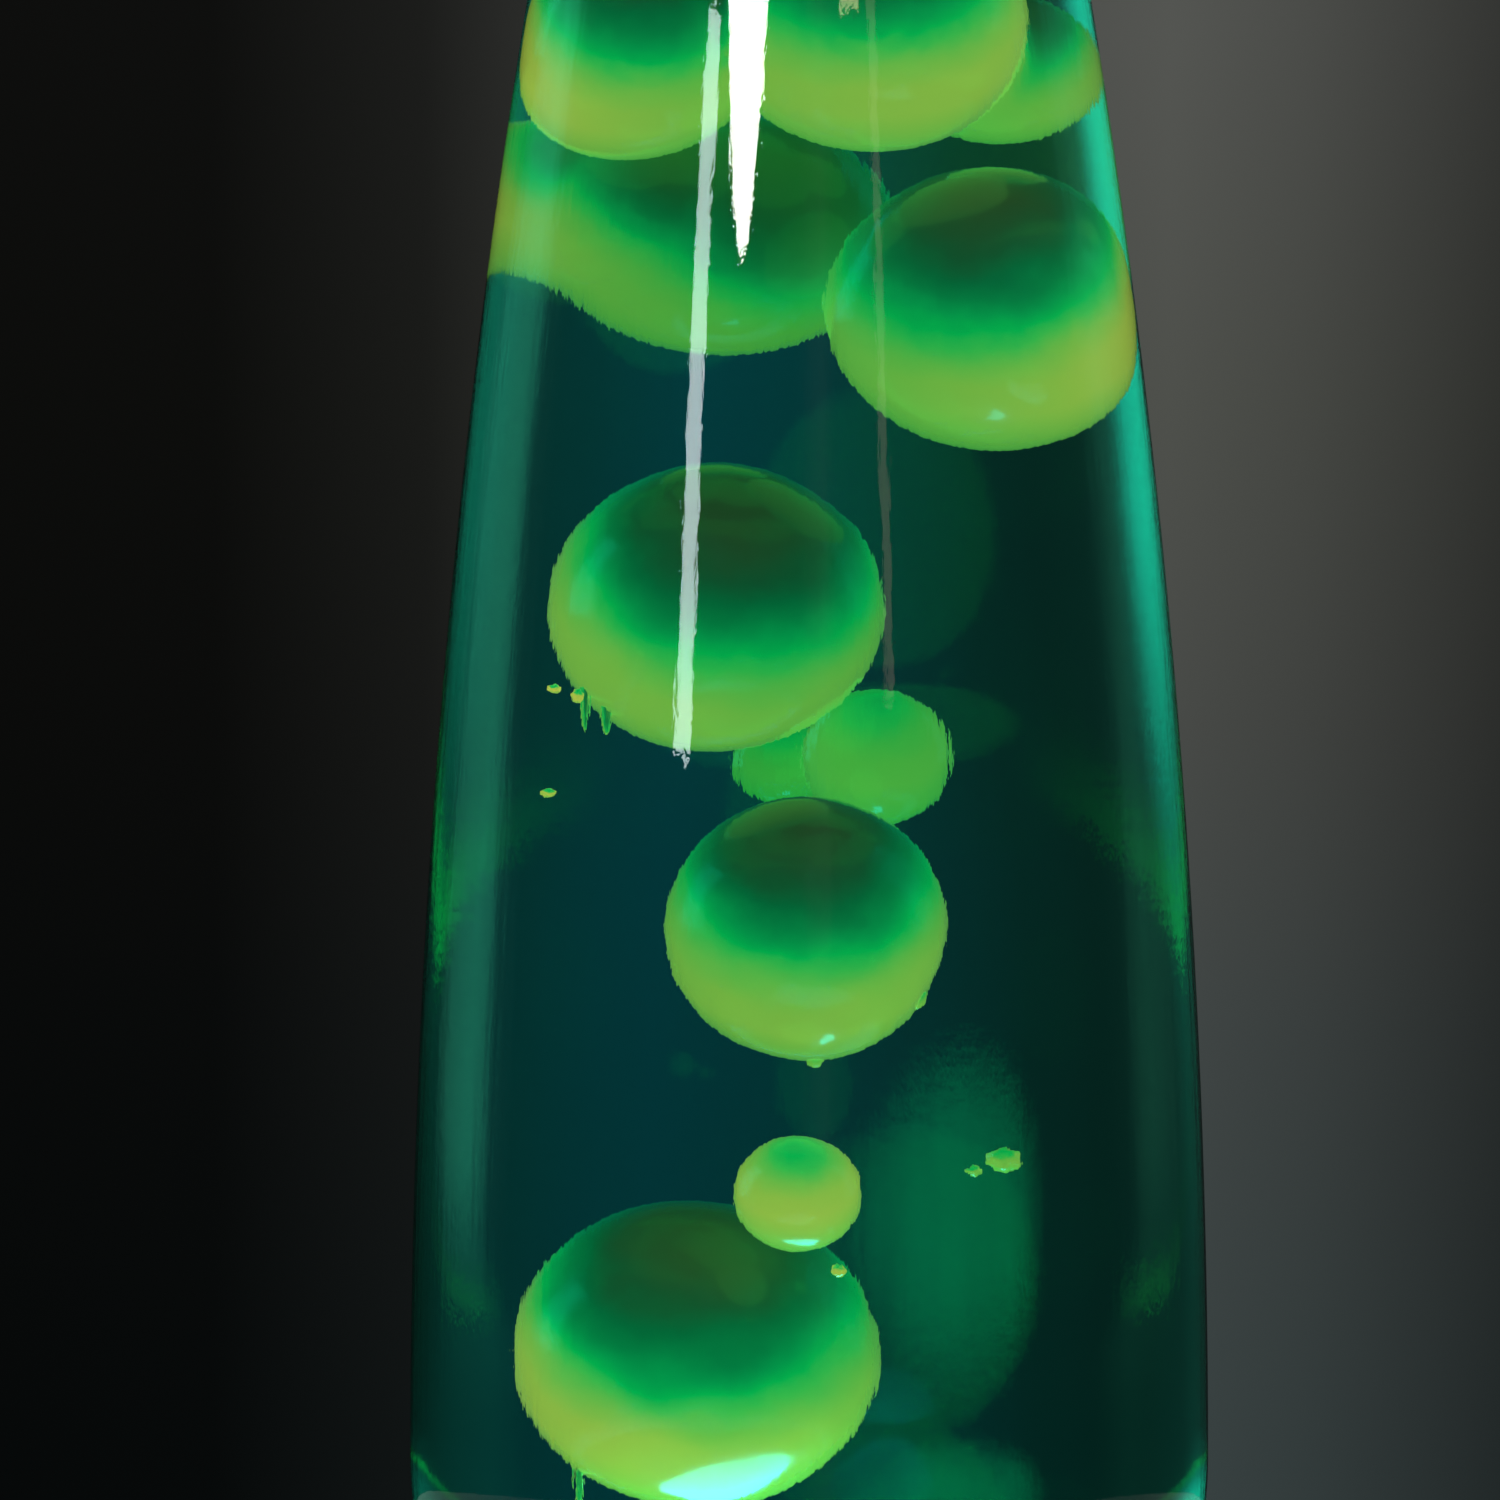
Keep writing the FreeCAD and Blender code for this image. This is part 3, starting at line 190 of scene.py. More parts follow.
class Effects:
    """The surface effects that several finishes share, each a node group built once."""

    coarse_share = 0.25      # how much of a lathe ring's height comes from the coarse rings

    def __init__(self) -> None:
        """Build every group."""
        self.lathe = self.make_lathe()
        self.grime = self.make_grime()
        self.grain = self.make_grain()

    def make_lathe(self) -> bpy.types.NodeTree:
        """Fine rings left by the spinning lathe, and a few deeper ones."""
        tree, board, source, sink = group("lathe_rings", {"Rings": 900.0}, ["Height", "Streak"])
        parts = board.add("SeparateXYZ", {0: source.outputs["Vector"]})
        across = board.math("ADD", board.math("POWER", parts.outputs["X"], 2.0),
                            board.math("POWER", parts.outputs["Y"], 2.0))
        radius = board.math("SQRT", across)
        along = board.add("CombineXYZ", {"X": radius, "Z": parts.outputs["Z"]}).outputs[0]
        fine = board.add("TexNoise", {"Vector": along, "Detail": 2.0, "Roughness": 0.6})
        board.put(source.outputs["Rings"], fine.inputs["Scale"])
        coarse = board.noise(along, 170.0, 1.0)
        wide = board.math("MULTIPLY", coarse, self.coarse_share)
        board.put(board.math("ADD", fine.outputs["Fac"], wide), sink.inputs["Height"])
        board.put(fine.outputs["Fac"], sink.inputs["Streak"])
        return tree

    def make_grime(self) -> bpy.types.NodeTree:
        """Patches of handling: dull fingermarks and settled dust."""
        tree, board, source, sink = group("handling_marks", {"Scale": 22.0}, ["Marks", "Specks"])
        where = source.outputs["Vector"]
        patches = board.add("TexNoise", {"Vector": where, "Detail": 5.0, "Roughness": 0.62})
        board.put(source.outputs["Scale"], patches.inputs["Scale"])
        board.put(board.remap(patches.outputs["Fac"], 0.48, 0.72, smooth=True), sink.inputs["Marks"])
        dots = board.add("TexVoronoi", {"Vector": where, "Scale": 420.0})
        board.put(board.remap(dots.outputs["Distance"], 0.10, 0.03), sink.inputs["Specks"])
        return tree

    def make_grain(self) -> bpy.types.NodeTree:
        """The fine texture of a moulded or cast surface."""
        tree, board, source, sink = group("moulded_grain", {"Scale": 1500.0}, ["Height"])
        cells = board.add("TexNoise", {"Vector": source.outputs["Vector"], "Detail": 3.0, "Roughness": 0.55})
        board.put(source.outputs["Scale"], cells.inputs["Scale"])
        board.put(cells.outputs["Fac"], sink.inputs["Height"])
        return tree

    def place(self, board: Board, tree: bpy.types.NodeTree, vector: bpy.types.NodeSocket,
              **values: float) -> bpy.types.Node:
        """Place a group in a material.

        Args:
            board: the material's board.
            tree: the group.
            vector: the coordinates that it reads.
            values: its number inputs.

        Returns:
            The group's node.
        """
        node = board.add("Group", node_tree=tree)
        board.put(vector, node.inputs["Vector"])
        for key, value in values.items():
            node.inputs[key].default_value = value
        return node


# ---------------------------------------------------------------- finishes
@dataclass(frozen=True)
class Metal:
    """A bare metal: spun, drawn, plated or cast."""

    name: str
    colour: Colour
    roughness: float
    rings: float = 0.0
    marks: float = 0.10
    tarnish: Colour = (0.30, 0.29, 0.27)
    anisotropy: float = 0.0
    depth: float = 0.00012

    def material(self, effects: Effects) -> bpy.types.Material:
        """Build the finish from turned rings, handling marks and specks."""
        material, board, shader = new_material(self.name)
        place = board.add("TexCoord").outputs["Object"]
        grime = effects.place(board, effects.grime, place, Scale=26.0)
        if self.rings:
            lathe = effects.place(board, effects.lathe, place, Rings=self.rings)
            streak, height = lathe.outputs["Streak"], lathe.outputs["Height"]
        else:
            grain = effects.place(board, effects.grain, place, Scale=900.0)
            streak, height = grain.outputs["Height"], grain.outputs["Height"]
        worn = board.math("MULTIPLY", grime.outputs["Marks"], self.marks)
        tint = board.blend(board.remap(streak, 0.3, 0.7), shade(self.colour, 0.86), shade(self.colour))
        dull = board.blend(worn, tint, shade(self.tarnish))
        board.put(dull, shader.inputs["Base Color"])
        rough = board.math("ADD", board.remap(streak, 0.3, 0.7, self.roughness * 0.8, self.roughness * 1.2),
                           board.math("MULTIPLY", worn, 0.9))
        board.put(board.math("ADD", rough, board.math("MULTIPLY", grime.outputs["Specks"], 0.12), clamp=True),
                  shader.inputs["Roughness"])
        shader.inputs["Metallic"].default_value = 1.0
        shader.inputs["Anisotropic"].default_value = self.anisotropy
        board.put(board.bump(height, 0.22, self.depth), shader.inputs["Normal"])
        return material


@dataclass(frozen=True)
class Moulded:
    """A non-metal solid finish: rubber, phenolic, enamel, felt or sealing compound."""

    name: str
    colour: Colour
    roughness: float
    grain: float = 1500.0
    depth: float = 0.00010
    coat: float = 0.0
    fuzz: float = 0.0

    def material(self, effects: Effects) -> bpy.types.Material:
        """Build the finish from a fine grain, scuffs and dust."""
        material, board, shader = new_material(self.name)
        place = board.add("TexCoord").outputs["Object"]
        grain = effects.place(board, effects.grain, place, Scale=self.grain)
        grime = effects.place(board, effects.grime, place, Scale=40.0)
        light = tuple(min(1.0, c * 1.5 + 0.03) for c in self.colour)
        mottled = board.blend(board.remap(grain.outputs["Height"], 0.35, 0.65), shade(self.colour),
                              shade(self.colour, 1.18))
        scuffed = board.blend(board.math("MULTIPLY", grime.outputs["Marks"], 0.35), mottled, shade(light))
        dusty = board.blend(board.math("MULTIPLY", grime.outputs["Specks"], 0.4), scuffed, DUST)
        board.put(dusty, shader.inputs["Base Color"])
        dullest = min(1.0, self.roughness + 0.18)
        board.put(board.remap(grime.outputs["Marks"], 0.0, 1.0, self.roughness, dullest),
                  shader.inputs["Roughness"])
        shader.inputs["Coat Weight"].default_value = self.coat
        shader.inputs["Sheen Weight"].default_value = self.fuzz
        board.put(board.bump(grain.outputs["Height"], 0.5, self.depth), shader.inputs["Normal"])
        return material


@dataclass(frozen=True)
class BlownGlass:
    """The globe's clear glass: slow waves, draw lines and a few smears."""

    name: str = "blown_glass"
    wave: float = 0.00035
    lines: float = 0.00002
    pits: float = 0.000011
    tint: Colour = (0.97, 0.99, 0.98)

    def material(self, effects: Effects) -> bpy.types.Material:
        """Build clear glass whose surface is a little uneven."""
        material, board, shader = new_material(self.name)
        place = board.add("TexCoord").outputs["Object"]
        slow = board.noise(board.stretch(place, (1.0, 1.0, 0.35)), 24.0, 1.0)
        drawn = board.noise(board.stretch(place, (1.0, 1.0, 0.012)), 420.0, 2.0, 0.6)
        pitted = board.noise(board.stretch(place, (1.0, 1.0, 0.35)), 1300.0, 2.0, 0.7)
        grime = effects.place(board, effects.grime, place, Scale=30.0)
        first = board.bump(slow, 1.0, self.wave)
        second = board.add("Bump", {"Height": drawn, "Strength": 1.0, "Distance": self.lines, "Normal": first})
        third = board.add("Bump", {"Height": pitted, "Strength": 0.6, "Distance": self.pits,
                                   "Normal": second.outputs["Normal"]})
        board.put(third.outputs["Normal"], shader.inputs["Normal"])
        board.put(board.math("MULTIPLY", grime.outputs["Marks"], 0.035), shader.inputs["Roughness"])
        shader.inputs["Base Color"].default_value = shade(self.tint)
        shader.inputs["IOR"].default_value = 1.5
        shader.inputs["Transmission Weight"].default_value = 1.0
        return material


@dataclass(frozen=True)
class DyedLiquid:
    """The blue-teal liquid, which takes out red light as it thickens."""

    name: str = "dyed_liquid"
    density: float = 60.0
    passed: Colour = (0.10, 0.858, 0.867)

    def material(self, effects: Effects) -> bpy.types.Material:
        """Build a clear surface round a plain absorbing volume."""
        material, board, shader = new_material(self.name)
        shader.inputs["Base Color"].default_value = (1.0, 1.0, 1.0, 1.0)
        shader.inputs["Roughness"].default_value = 0.0
        shader.inputs["IOR"].default_value = 1.33
        shader.inputs["Transmission Weight"].default_value = 1.0
        soak = board.add("VolumeAbsorption", {"Color": shade(self.passed), "Density": self.density})
        out = material.node_tree.nodes["Material Output"]
        board.put(soak.outputs["Volume"], out.inputs["Volume"])
        return material


@dataclass(frozen=True)
class PaintedGlowWax:
    """Lime wax whose glow is painted into its emission: painted light underneath, where the bulb's light would
    reach it, and painted shade above.
    """

    name: str = "wax_painted_glow"
    # strength of the painted glow
    glow: float = 1.0
    # how much lighter the painted shade is made; below zero it is darker
    painted_shade_lift: float = 0.0
    # how much more red the painted glow has
    painted_glow_warmth: float = 1.0
    # the way of facing where the painted shade is darkest
    painted_shade_pole: tuple[float, float, float] = (0.0, -0.62, 0.785)
    body: Colour = (0.26, 0.24, 0.020)
    body_cloud: Colour = (0.20, 0.20, 0.022)
    # painted glow colours, from the lime painted light underneath at 0 to the dark painted shade on top at 1
    stops: tuple[tuple[float, Colour], ...] = (
        (0.00, (0.30, 0.56, 0.070)),
        (0.22, (0.42, 0.56, 0.070)),
        (0.40, (0.54, 0.57, 0.068)),
        (0.53, (0.46, 0.56, 0.066)),
        (0.62, (0.27, 0.55, 0.070)),
        (0.69, (0.07, 0.54, 0.080)),
        (0.735, (0.00, 0.49, 0.084)),
        (0.775, (0.00, 0.35, 0.078)),
        (0.82, (0.00, 0.225, 0.058)),
        (0.87, (0.00, 0.145, 0.042)),
        (0.92, (0.008, 0.088, 0.028)),
        (1.00, (0.028, 0.060, 0.018)),
    )

    def material(self, effects: Effects) -> bpy.types.Material:
        """Build wax whose painted glow and painted shade follow which way its surface faces, with cloudy
        mottling.
        """
        material, board, shader = new_material(self.name)
        coordinates = board.add("TexCoord")
        place = coordinates.outputs["Object"]
        # Painted light and shade: the emission colour follows how the surface faces the painted shade pole, with
        # a cloudy drift
        facing = board.add("VectorMath", {0: coordinates.outputs["Normal"], 1: self.painted_shade_pole},
                           operation="DOT_PRODUCT").outputs["Value"]
        cloud = board.noise(place, 95.0, 3.0, 0.55)
        wisps = board.noise(place, 420.0, 2.0, 0.6)
        drift = board.math("ADD", board.math("MULTIPLY", board.math("SUBTRACT", cloud, 0.5), 0.15),
                           board.math("MULTIPLY", board.math("SUBTRACT", wisps, 0.5), 0.05))
        shifted = board.math("SUBTRACT", board.math("ADD", facing, drift), self.painted_shade_lift)
        level = board.remap(shifted, -1.0, 1.0)
        colour = board.ramp(level, [(stop, (red * self.painted_glow_warmth, green, blue))
                                    for stop, (red, green, blue) in self.stops])
        board.put(colour, shader.inputs["Emission Color"])
        shader.inputs["Emission Strength"].default_value = self.glow
        board.put(board.blend(cloud, shade(self.body), shade(self.body_cloud)), shader.inputs["Base Color"])
        fine = board.noise(place, 260.0, 2.0)
        board.put(board.remap(fine, 0.3, 0.7, 0.14, 0.26), shader.inputs["Roughness"])
        shader.inputs["Coat Weight"].default_value = 0.6
        shader.inputs["Coat Roughness"].default_value = 0.06
        board.put(board.bump(cloud, 0.22, 0.0006), shader.inputs["Normal"])
        return material


@dataclass(frozen=True)
class LampGlass:
    """The reflector bulb's glass: silvered behind, softly frosted and lit in front."""

    name: str = "bulb_glass"
    front_low: float = 0.076
    fade: float = 0.001
    glow: float = 6.0
    silver: Colour = (0.78, 0.77, 0.74)
    frosted: Colour = (0.95, 0.90, 0.80)
    lit: Colour = (1.0, 0.80, 0.52)

    def material(self, effects: Effects) -> bpy.types.Material:
        """Build glass that is mirror-coated up to its widest level and glows above it."""
        material, board, shader = new_material(self.name)
        place = board.add("TexCoord").outputs["Object"]
        height = board.add("SeparateXYZ", {0: place}).outputs["Z"]
        front = board.remap(height, self.front_low - self.fade, self.front_low + self.fade)
        frost = effects.place(board, effects.grain, place, Scale=2200.0)
        board.put(board.blend(front, shade(self.silver), shade(self.frosted)), shader.inputs["Base Color"])
        board.put(board.math("SUBTRACT", 1.0, front), shader.inputs["Metallic"])
        board.put(board.remap(front, 0.0, 1.0, 0.12, 0.55), shader.inputs["Roughness"])
        board.put(board.blend(front, NO_LIGHT, shade(self.lit)), shader.inputs["Emission Color"])
        shader.inputs["Emission Strength"].default_value = self.glow
        board.put(board.bump(frost.outputs["Height"], 0.3, 0.00008), shader.inputs["Normal"])
        return material


@dataclass(frozen=True)
class HotWire:
    """The filament's coil, lit."""

    name: str = "hot_wire"
    glow: float = 8.0
    dim: Colour = (1.0, 0.45, 0.12)
    bright: Colour = (1.0, 0.78, 0.42)
    tungsten: Colour = (0.10, 0.09, 0.08)
    worn: Colour = (0.2, 0.18, 0.16)

    def material(self, effects: Effects) -> bpy.types.Material:
        """Build a dark wire that glows unevenly."""
        material, board, shader = new_material(self.name)
        place = board.add("TexCoord").outputs["Object"]
        turns = board.noise(board.stretch(place, (1.0, 0.1, 0.1)), 2500.0, 1.0)
        board.put(board.blend(turns, shade(self.dim), shade(self.bright)), shader.inputs["Emission Color"])
        shader.inputs["Emission Strength"].default_value = self.glow
        board.put(board.blend(turns, shade(self.tungsten), shade(self.worn)), shader.inputs["Base Color"])
        shader.inputs["Metallic"].default_value = 1.0
        return material


@dataclass(frozen=True)
class PaleFloor:
    """A plain pale table top."""

    name: str = "pale_floor"
    colour: Colour = (0.62, 0.61, 0.59)

    def material(self, effects: Effects) -> bpy.types.Material:
        """Build a matt surface with the faintest mottling."""
        material, board, shader = new_material(self.name)
        place = board.add("TexCoord").outputs["Object"]
        cloud = board.noise(place, 3.0, 4.0)
        board.put(board.blend(cloud, shade(self.colour), shade(self.colour, 0.94)), shader.inputs["Base Color"])
        board.put(board.remap(cloud, 0.3, 0.7, 0.62, 0.72), shader.inputs["Roughness"])
        return material


@dataclass(frozen=True)
class TintedSurround:
    """Soft light round the lamp, seen only through the globe.

    It is bluer on the right, greener on the left and brightest far round the sides, and the globe shows left and
    right swapped. Through the sides of the globe the wall is seen lower down than through its middle, so a
    height there counts as a level that is higher by the drop. Bearings are in degrees from straight behind the
    lamp, and heights are in metres.
    """

    name: str = "tinted_surround"
    drop: float = 0.075
    widen: float = 1.25
    right_lift: float = 1.3
    left_lift: float = 4.4
    low_dim: float = -0.40
    horizon: float = 0.1555
    band_above: float = 0.021
    band_below: float = 0.008
    haze: float = 0.24
    haze_bearing: float = -8.5
    haze_half_turn: float = 4.6
    haze_z: float = 0.058
    haze_half_height: float = 0.029
    dark: Colour = (0.010, 0.030, 0.025)
    left_stops: tuple[tuple[float, Colour], ...] = (
        (-75.0, (0.030, 0.320, 0.190)),
        (-58.0, (0.025, 0.240, 0.145)),
        (-50.0, (0.020, 0.150, 0.095)),
        (-42.0, (0.012, 0.056, 0.037)),
        (-31.0, (0.008, 0.036, 0.024)),
        (-22.0, (0.008, 0.033, 0.023)),
        (-14.0, (0.010, 0.042, 0.031)),
    )
    right_stops: tuple[tuple[float, Colour], ...] = (
        (0.0, (0.015, 0.080, 0.077)),
        (10.0, (0.017, 0.082, 0.090)),
        (22.0, (0.015, 0.068, 0.062)),
        (33.0, (0.013, 0.060, 0.050)),
        (42.0, (0.012, 0.060, 0.044)),
        (53.0, (0.018, 0.092, 0.060)),
        (58.0, (0.022, 0.125, 0.078)),
        (75.0, (0.030, 0.200, 0.120)),
    )
    band_stops: tuple[tuple[float, Colour], ...] = (
        (0.0, (0.0, 0.0, 0.0)),
        (0.33, (0.002, 0.070, 0.004)),
        (0.56, (0.004, 0.150, 0.010)),
        (0.71, (0.01, 0.34, 0.026)),
        (0.84, (0.02, 0.62, 0.06)),
        (1.0, (0.02, 0.90, 0.08)),
    )

    def stops(self) -> list[tuple[float, Colour]]:
        """Return every stop of the full turn, from straight ahead on the left round to the right."""
        ends = [(-180.0, self.dark), (-90.0, self.dark)]
        return ends + list(self.left_stops + self.right_stops) + [(90.0, self.dark), (180.0, self.dark)]

    def brightness(self, board: Board, height: object, level: object, turned: object,
                   behind: object) -> bpy.types.NodeSocket:
        """Work out how bright the wall is.

        Args:
            board: the material's board.
            height: the height on the wall.
            level: the height that counts, with the drop added.
            turned: the bearing that counts, in degrees.
            behind: one behind the lamp and none in front of it.

        Returns:
            A factor for the wall's colour.
        """
        middle = board.remap(height, 0.03, 0.36, 0.92, 1.10)
        side = board.remap(board.math("ABSOLUTE", turned), 38.0, 52.0, smooth=True)
        high = board.remap(level, 0.158, 0.22)
        lift = board.math("MULTIPLY", high, board.remap(turned, -10.0, 10.0, self.left_lift, self.right_lift))
        low = board.remap(level, 0.10, 0.135, self.low_dim, 0.0)
        raised = board.math("MULTIPLY", side, board.math("ADD", board.math("MULTIPLY", lift, behind), low))
        return board.math("ADD", middle, raised)

    def level_band(self, board: Board, level: object, turned: object, behind: object) -> bpy.types.NodeSocket:
        """Make the lime band that starts at the horizon and fades upwards, strongest at the sides.

        Args:
            board: the material's board.
            level: the height that counts.
            turned: the bearing that counts, in degrees.
            behind: one behind the lamp and none in front of it.

        Returns:
            The band's light.
        """
        above = board.remap(level, self.horizon, self.horizon + self.band_above, 1.0, 0.0)
        below = board.remap(level, self.horizon - self.band_below, self.horizon, smooth=True)
        edge = board.math("MULTIPLY", board.math("POWER", above, 1.8), below)
        reach = board.remap(board.math("ABSOLUTE", turned), 15.0, 60.0)
        return board.scale(board.ramp(reach, list(self.band_stops)), board.math("MULTIPLY", edge, behind))

    def haze_patch(self, board: Board, place: object, degrees: object, height: object) -> bpy.types.NodeSocket:
        """Make the cloudy green patch low behind the lamp.

        Args:
            board: the material's board.
            place: the coordinates of its clouds.
            degrees: the bearing.
            height: the height on the wall.

        Returns:
            The patch's light.
        """
        offsets = ((degrees, self.haze_bearing, self.haze_half_turn),
                   (height, self.haze_z, self.haze_half_height))
        squares = []
        for value, middle, half in offsets:
            part = board.math("MULTIPLY", board.math("SUBTRACT", value, middle), 1.0 / half)
            squares.append(board.math("POWER", board.math("ABSOLUTE", part), 2.0))
        fade = board.remap(board.math("ADD", *squares), 2.6, 0.0, smooth=True)
        cloud = board.remap(board.noise(place, 9.0, 3.0), 0.25, 0.7, 0.5, 1.2)
        lit = (0.0, self.haze, self.haze * 0.3, 1.0)
        return board.blend(board.math("MULTIPLY", fade, cloud), NO_LIGHT, lit)

    def material(self, effects: Effects) -> bpy.types.Material:
        """Build a glowing wall whose colour follows its bearing and height."""
        material, board, shader = new_material(self.name)
        place = board.add("TexCoord").outputs["Object"]
        parts = board.add("SeparateXYZ", {0: place})
        height = parts.outputs["Z"]
        bearing = board.math("ARCTAN2", parts.outputs["X"], parts.outputs["Y"])
        degrees = board.math("MULTIPLY", bearing, math.degrees(1.0))
        round_by = board.math("ABSOLUTE", degrees)
        behind = board.remap(round_by, 66.0, 80.0, 1.0, 0.0)
        level = board.math("ADD", height, board.remap(round_by, 15.0, 49.0, 0.0, self.drop))
        turned = board.math("MULTIPLY", degrees, board.remap(level, 0.137, 0.19, 1.0, self.widen))
        turn = board.remap(turned, -180.0, 180.0)
        colour = board.ramp(turn, [((angle + 180.0) / 360.0, tint) for angle, tint in self.stops()])
        plain = board.scale(colour, self.brightness(board, height, level, turned, behind))
        banded = board.sum(plain, self.level_band(board, level, turned, behind))
        total = board.sum(banded, self.haze_patch(board, place, degrees, height))
        board.put(total, shader.inputs["Emission Color"])
        shader.inputs["Emission Strength"].default_value = 1.0
        shader.inputs["Base Color"].default_value = NO_LIGHT
        shader.inputs["Roughness"].default_value = 1.0
        material.cycles.emission_sampling = "NONE"
        return material


class Finish(Enum):
    """Every finish on the lamp."""

    GLASS = BlownGlass()
    LIQUID = DyedLiquid()
    # The wax finishes paint light and shade into the wax's emission; the copies below only move the painted glow
    # and the painted shade for each blob
    WAX = PaintedGlowWax()
    LOW_WAX_PAINTED_GLOW = PaintedGlowWax("low_wax_painted_glow", glow=1.14, painted_glow_warmth=1.9)
    THIN_WAX_PAINTED_GLOW = PaintedGlowWax("thin_wax_painted_glow", glow=1.06, painted_shade_lift=0.50, painted_glow_warmth=1.15)
    DEEP_WAX_PAINTED_SHADE = PaintedGlowWax("deep_wax_painted_shade", painted_shade_lift=-0.02, painted_shade_pole=(0.10, -0.72, 0.69))
    BACK_WAX_PAINTED_SHADE = PaintedGlowWax("back_wax_painted_shade", painted_shade_lift=0.04, painted_glow_warmth=1.6, painted_shade_pole=(0.38, -0.80, 0.46))
    SPUN = Metal("spun_aluminium", (0.80, 0.81, 0.82), 0.30, rings=2600.0, anisotropy=0.5, depth=0.00003)
    RIVET = Metal("rivet_aluminium", (0.72, 0.73, 0.74), 0.34)
    ZINC = Metal("zinc_plated_steel", (0.62, 0.62, 0.58), 0.36, marks=0.35, tarnish=(0.36, 0.34, 0.28))
    SPRING = Metal("spring_wire", (0.50, 0.50, 0.50), 0.30)
    TIN = Metal("tinplate", (0.82, 0.81, 0.78), 0.18, marks=0.2)
    BRASS = Metal("brass", (0.78, 0.60, 0.30), 0.28, marks=0.4, tarnish=(0.32, 0.20, 0.09))
    NICKEL = Metal("nickel_plate", (0.74, 0.71, 0.64), 0.24, marks=0.25)
    SOLDER = Metal("solder", (0.58, 0.58, 0.57), 0.42, marks=0.5)
    ENAMEL = Moulded("black_enamel", (0.022, 0.022, 0.024), 0.34, grain=700.0, depth=0.00006, coat=0.3)
    RUBBER = Moulded("black_rubber", (0.025, 0.025, 0.026), 0.66)
    SOFT_RUBBER = Moulded("seat_rubber", (0.06, 0.06, 0.06), 0.78)
    PHENOLIC = Moulded("phenolic", (0.040, 0.034, 0.030), 0.38, grain=600.0, depth=0.00005)
    VITRITE = Moulded("vitrite", (0.012, 0.012, 0.014), 0.12, grain=300.0, depth=0.00002)
    SEAL = Moulded("sealing_compound", (0.62, 0.61, 0.56), 0.6)
    FELT = Moulded("felt", (0.07, 0.07, 0.075), 0.92, grain=3200.0, depth=0.0004, fuzz=0.5)
    BULB = LampGlass()
    HOT = HotWire()
    STEM = Moulded("stem_glass", (0.55, 0.58, 0.57), 0.12, grain=200.0, depth=0.00002, coat=0.5)
    FLOOR = PaleFloor()
    SURROUND = TintedSurround()


@dataclass
class Paintbox:
    """Builds each finish's material once and hands it out."""

    effects: Effects = field(default_factory=Effects)
    made: dict = field(default_factory=dict)

    def get(self, finish: Finish) -> bpy.types.Material:
        """Return the material of a finish."""
        if finish not in self.made:
            self.made[finish] = finish.value.material(self.effects)
        return self.made[finish]

    def dress(self, node: str, finish: Finish) -> None:
        """Give a frame node a finish."""
        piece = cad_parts[node]
        piece.data.materials.clear()
        piece.data.materials.append(self.get(finish))
        LOG.info("%s dressed in %s", node, finish.value.name)


# ---------------------------------------------------------------- shaping helpers
@dataclass
class Outline:
    """A profile in the half plane right of the lamp's axis, drawn with lines and tangent arcs."""

    radius: float
    height: float
    heading: float = 90.0
    points: list[Point] = field(default_factory=list)

    def __post_init__(self) -> None:
        """Begin at the starting point."""
        self.points.append((self.radius, self.height))

    def line(self, length: float) -> "Outline":
        """Go straight on."""
        angle = math.radians(self.heading)
        return self.to(self.radius + length * math.cos(angle), self.height + length * math.sin(angle))

    def to(self, radius: float, height: float) -> "Outline":
        """Go straight to a point."""
        self.radius, self.height = radius, height
        self.points.append((radius, height))
        return self

    def arc(self, bend: float, turn: float, steps: int = 12) -> "Outline":
        """Turn on an arc, to the left when the turn is positive.

        Args:
            bend: the arc's radius.
            turn: the turn in degrees.
            steps: points along it.

        Returns:
            The outline.
        """
        side = math.copysign(1.0, turn)
        start = math.radians(self.heading)
        centre = (self.radius - side * bend * math.sin(start), self.height + side * bend * math.cos(start))
        for step in range(1, steps + 1):
            angle = start + math.radians(turn) * step / steps
            self.to(centre[0] + side * bend * math.sin(angle), centre[1] - side * bend * math.cos(angle))
        self.heading += turn
        return self


def finish_mesh(name: str, mesh: bmesh.types.BMesh, smooth_angle: float = 35.0) -> bpy.types.Object:
    """Turn a bmesh into an object with outward normals and soft shading.

    Args:
        name: the piece's name.
        mesh: the finished bmesh.
        smooth_angle: edges sharper than this stay sharp, in degrees.

    Returns:
        The object.
    """
    bmesh.ops.remove_doubles(mesh, verts=mesh.verts, dist=1e-7)
    bmesh.ops.recalc_face_normals(mesh, faces=mesh.faces)
    limit = math.radians(smooth_angle)
    for face in mesh.faces:
        face.smooth = True
    for edge in mesh.edges:
        edge.smooth = len(edge.link_faces) == 2 and edge.calc_face_angle(0.0) < limit
    data = bpy.data.meshes.new(name)
    mesh.to_mesh(data)
    mesh.free()
    piece = bpy.data.objects.new(name, data)
    bpy.context.scene.collection.objects.link(piece)
    return piece


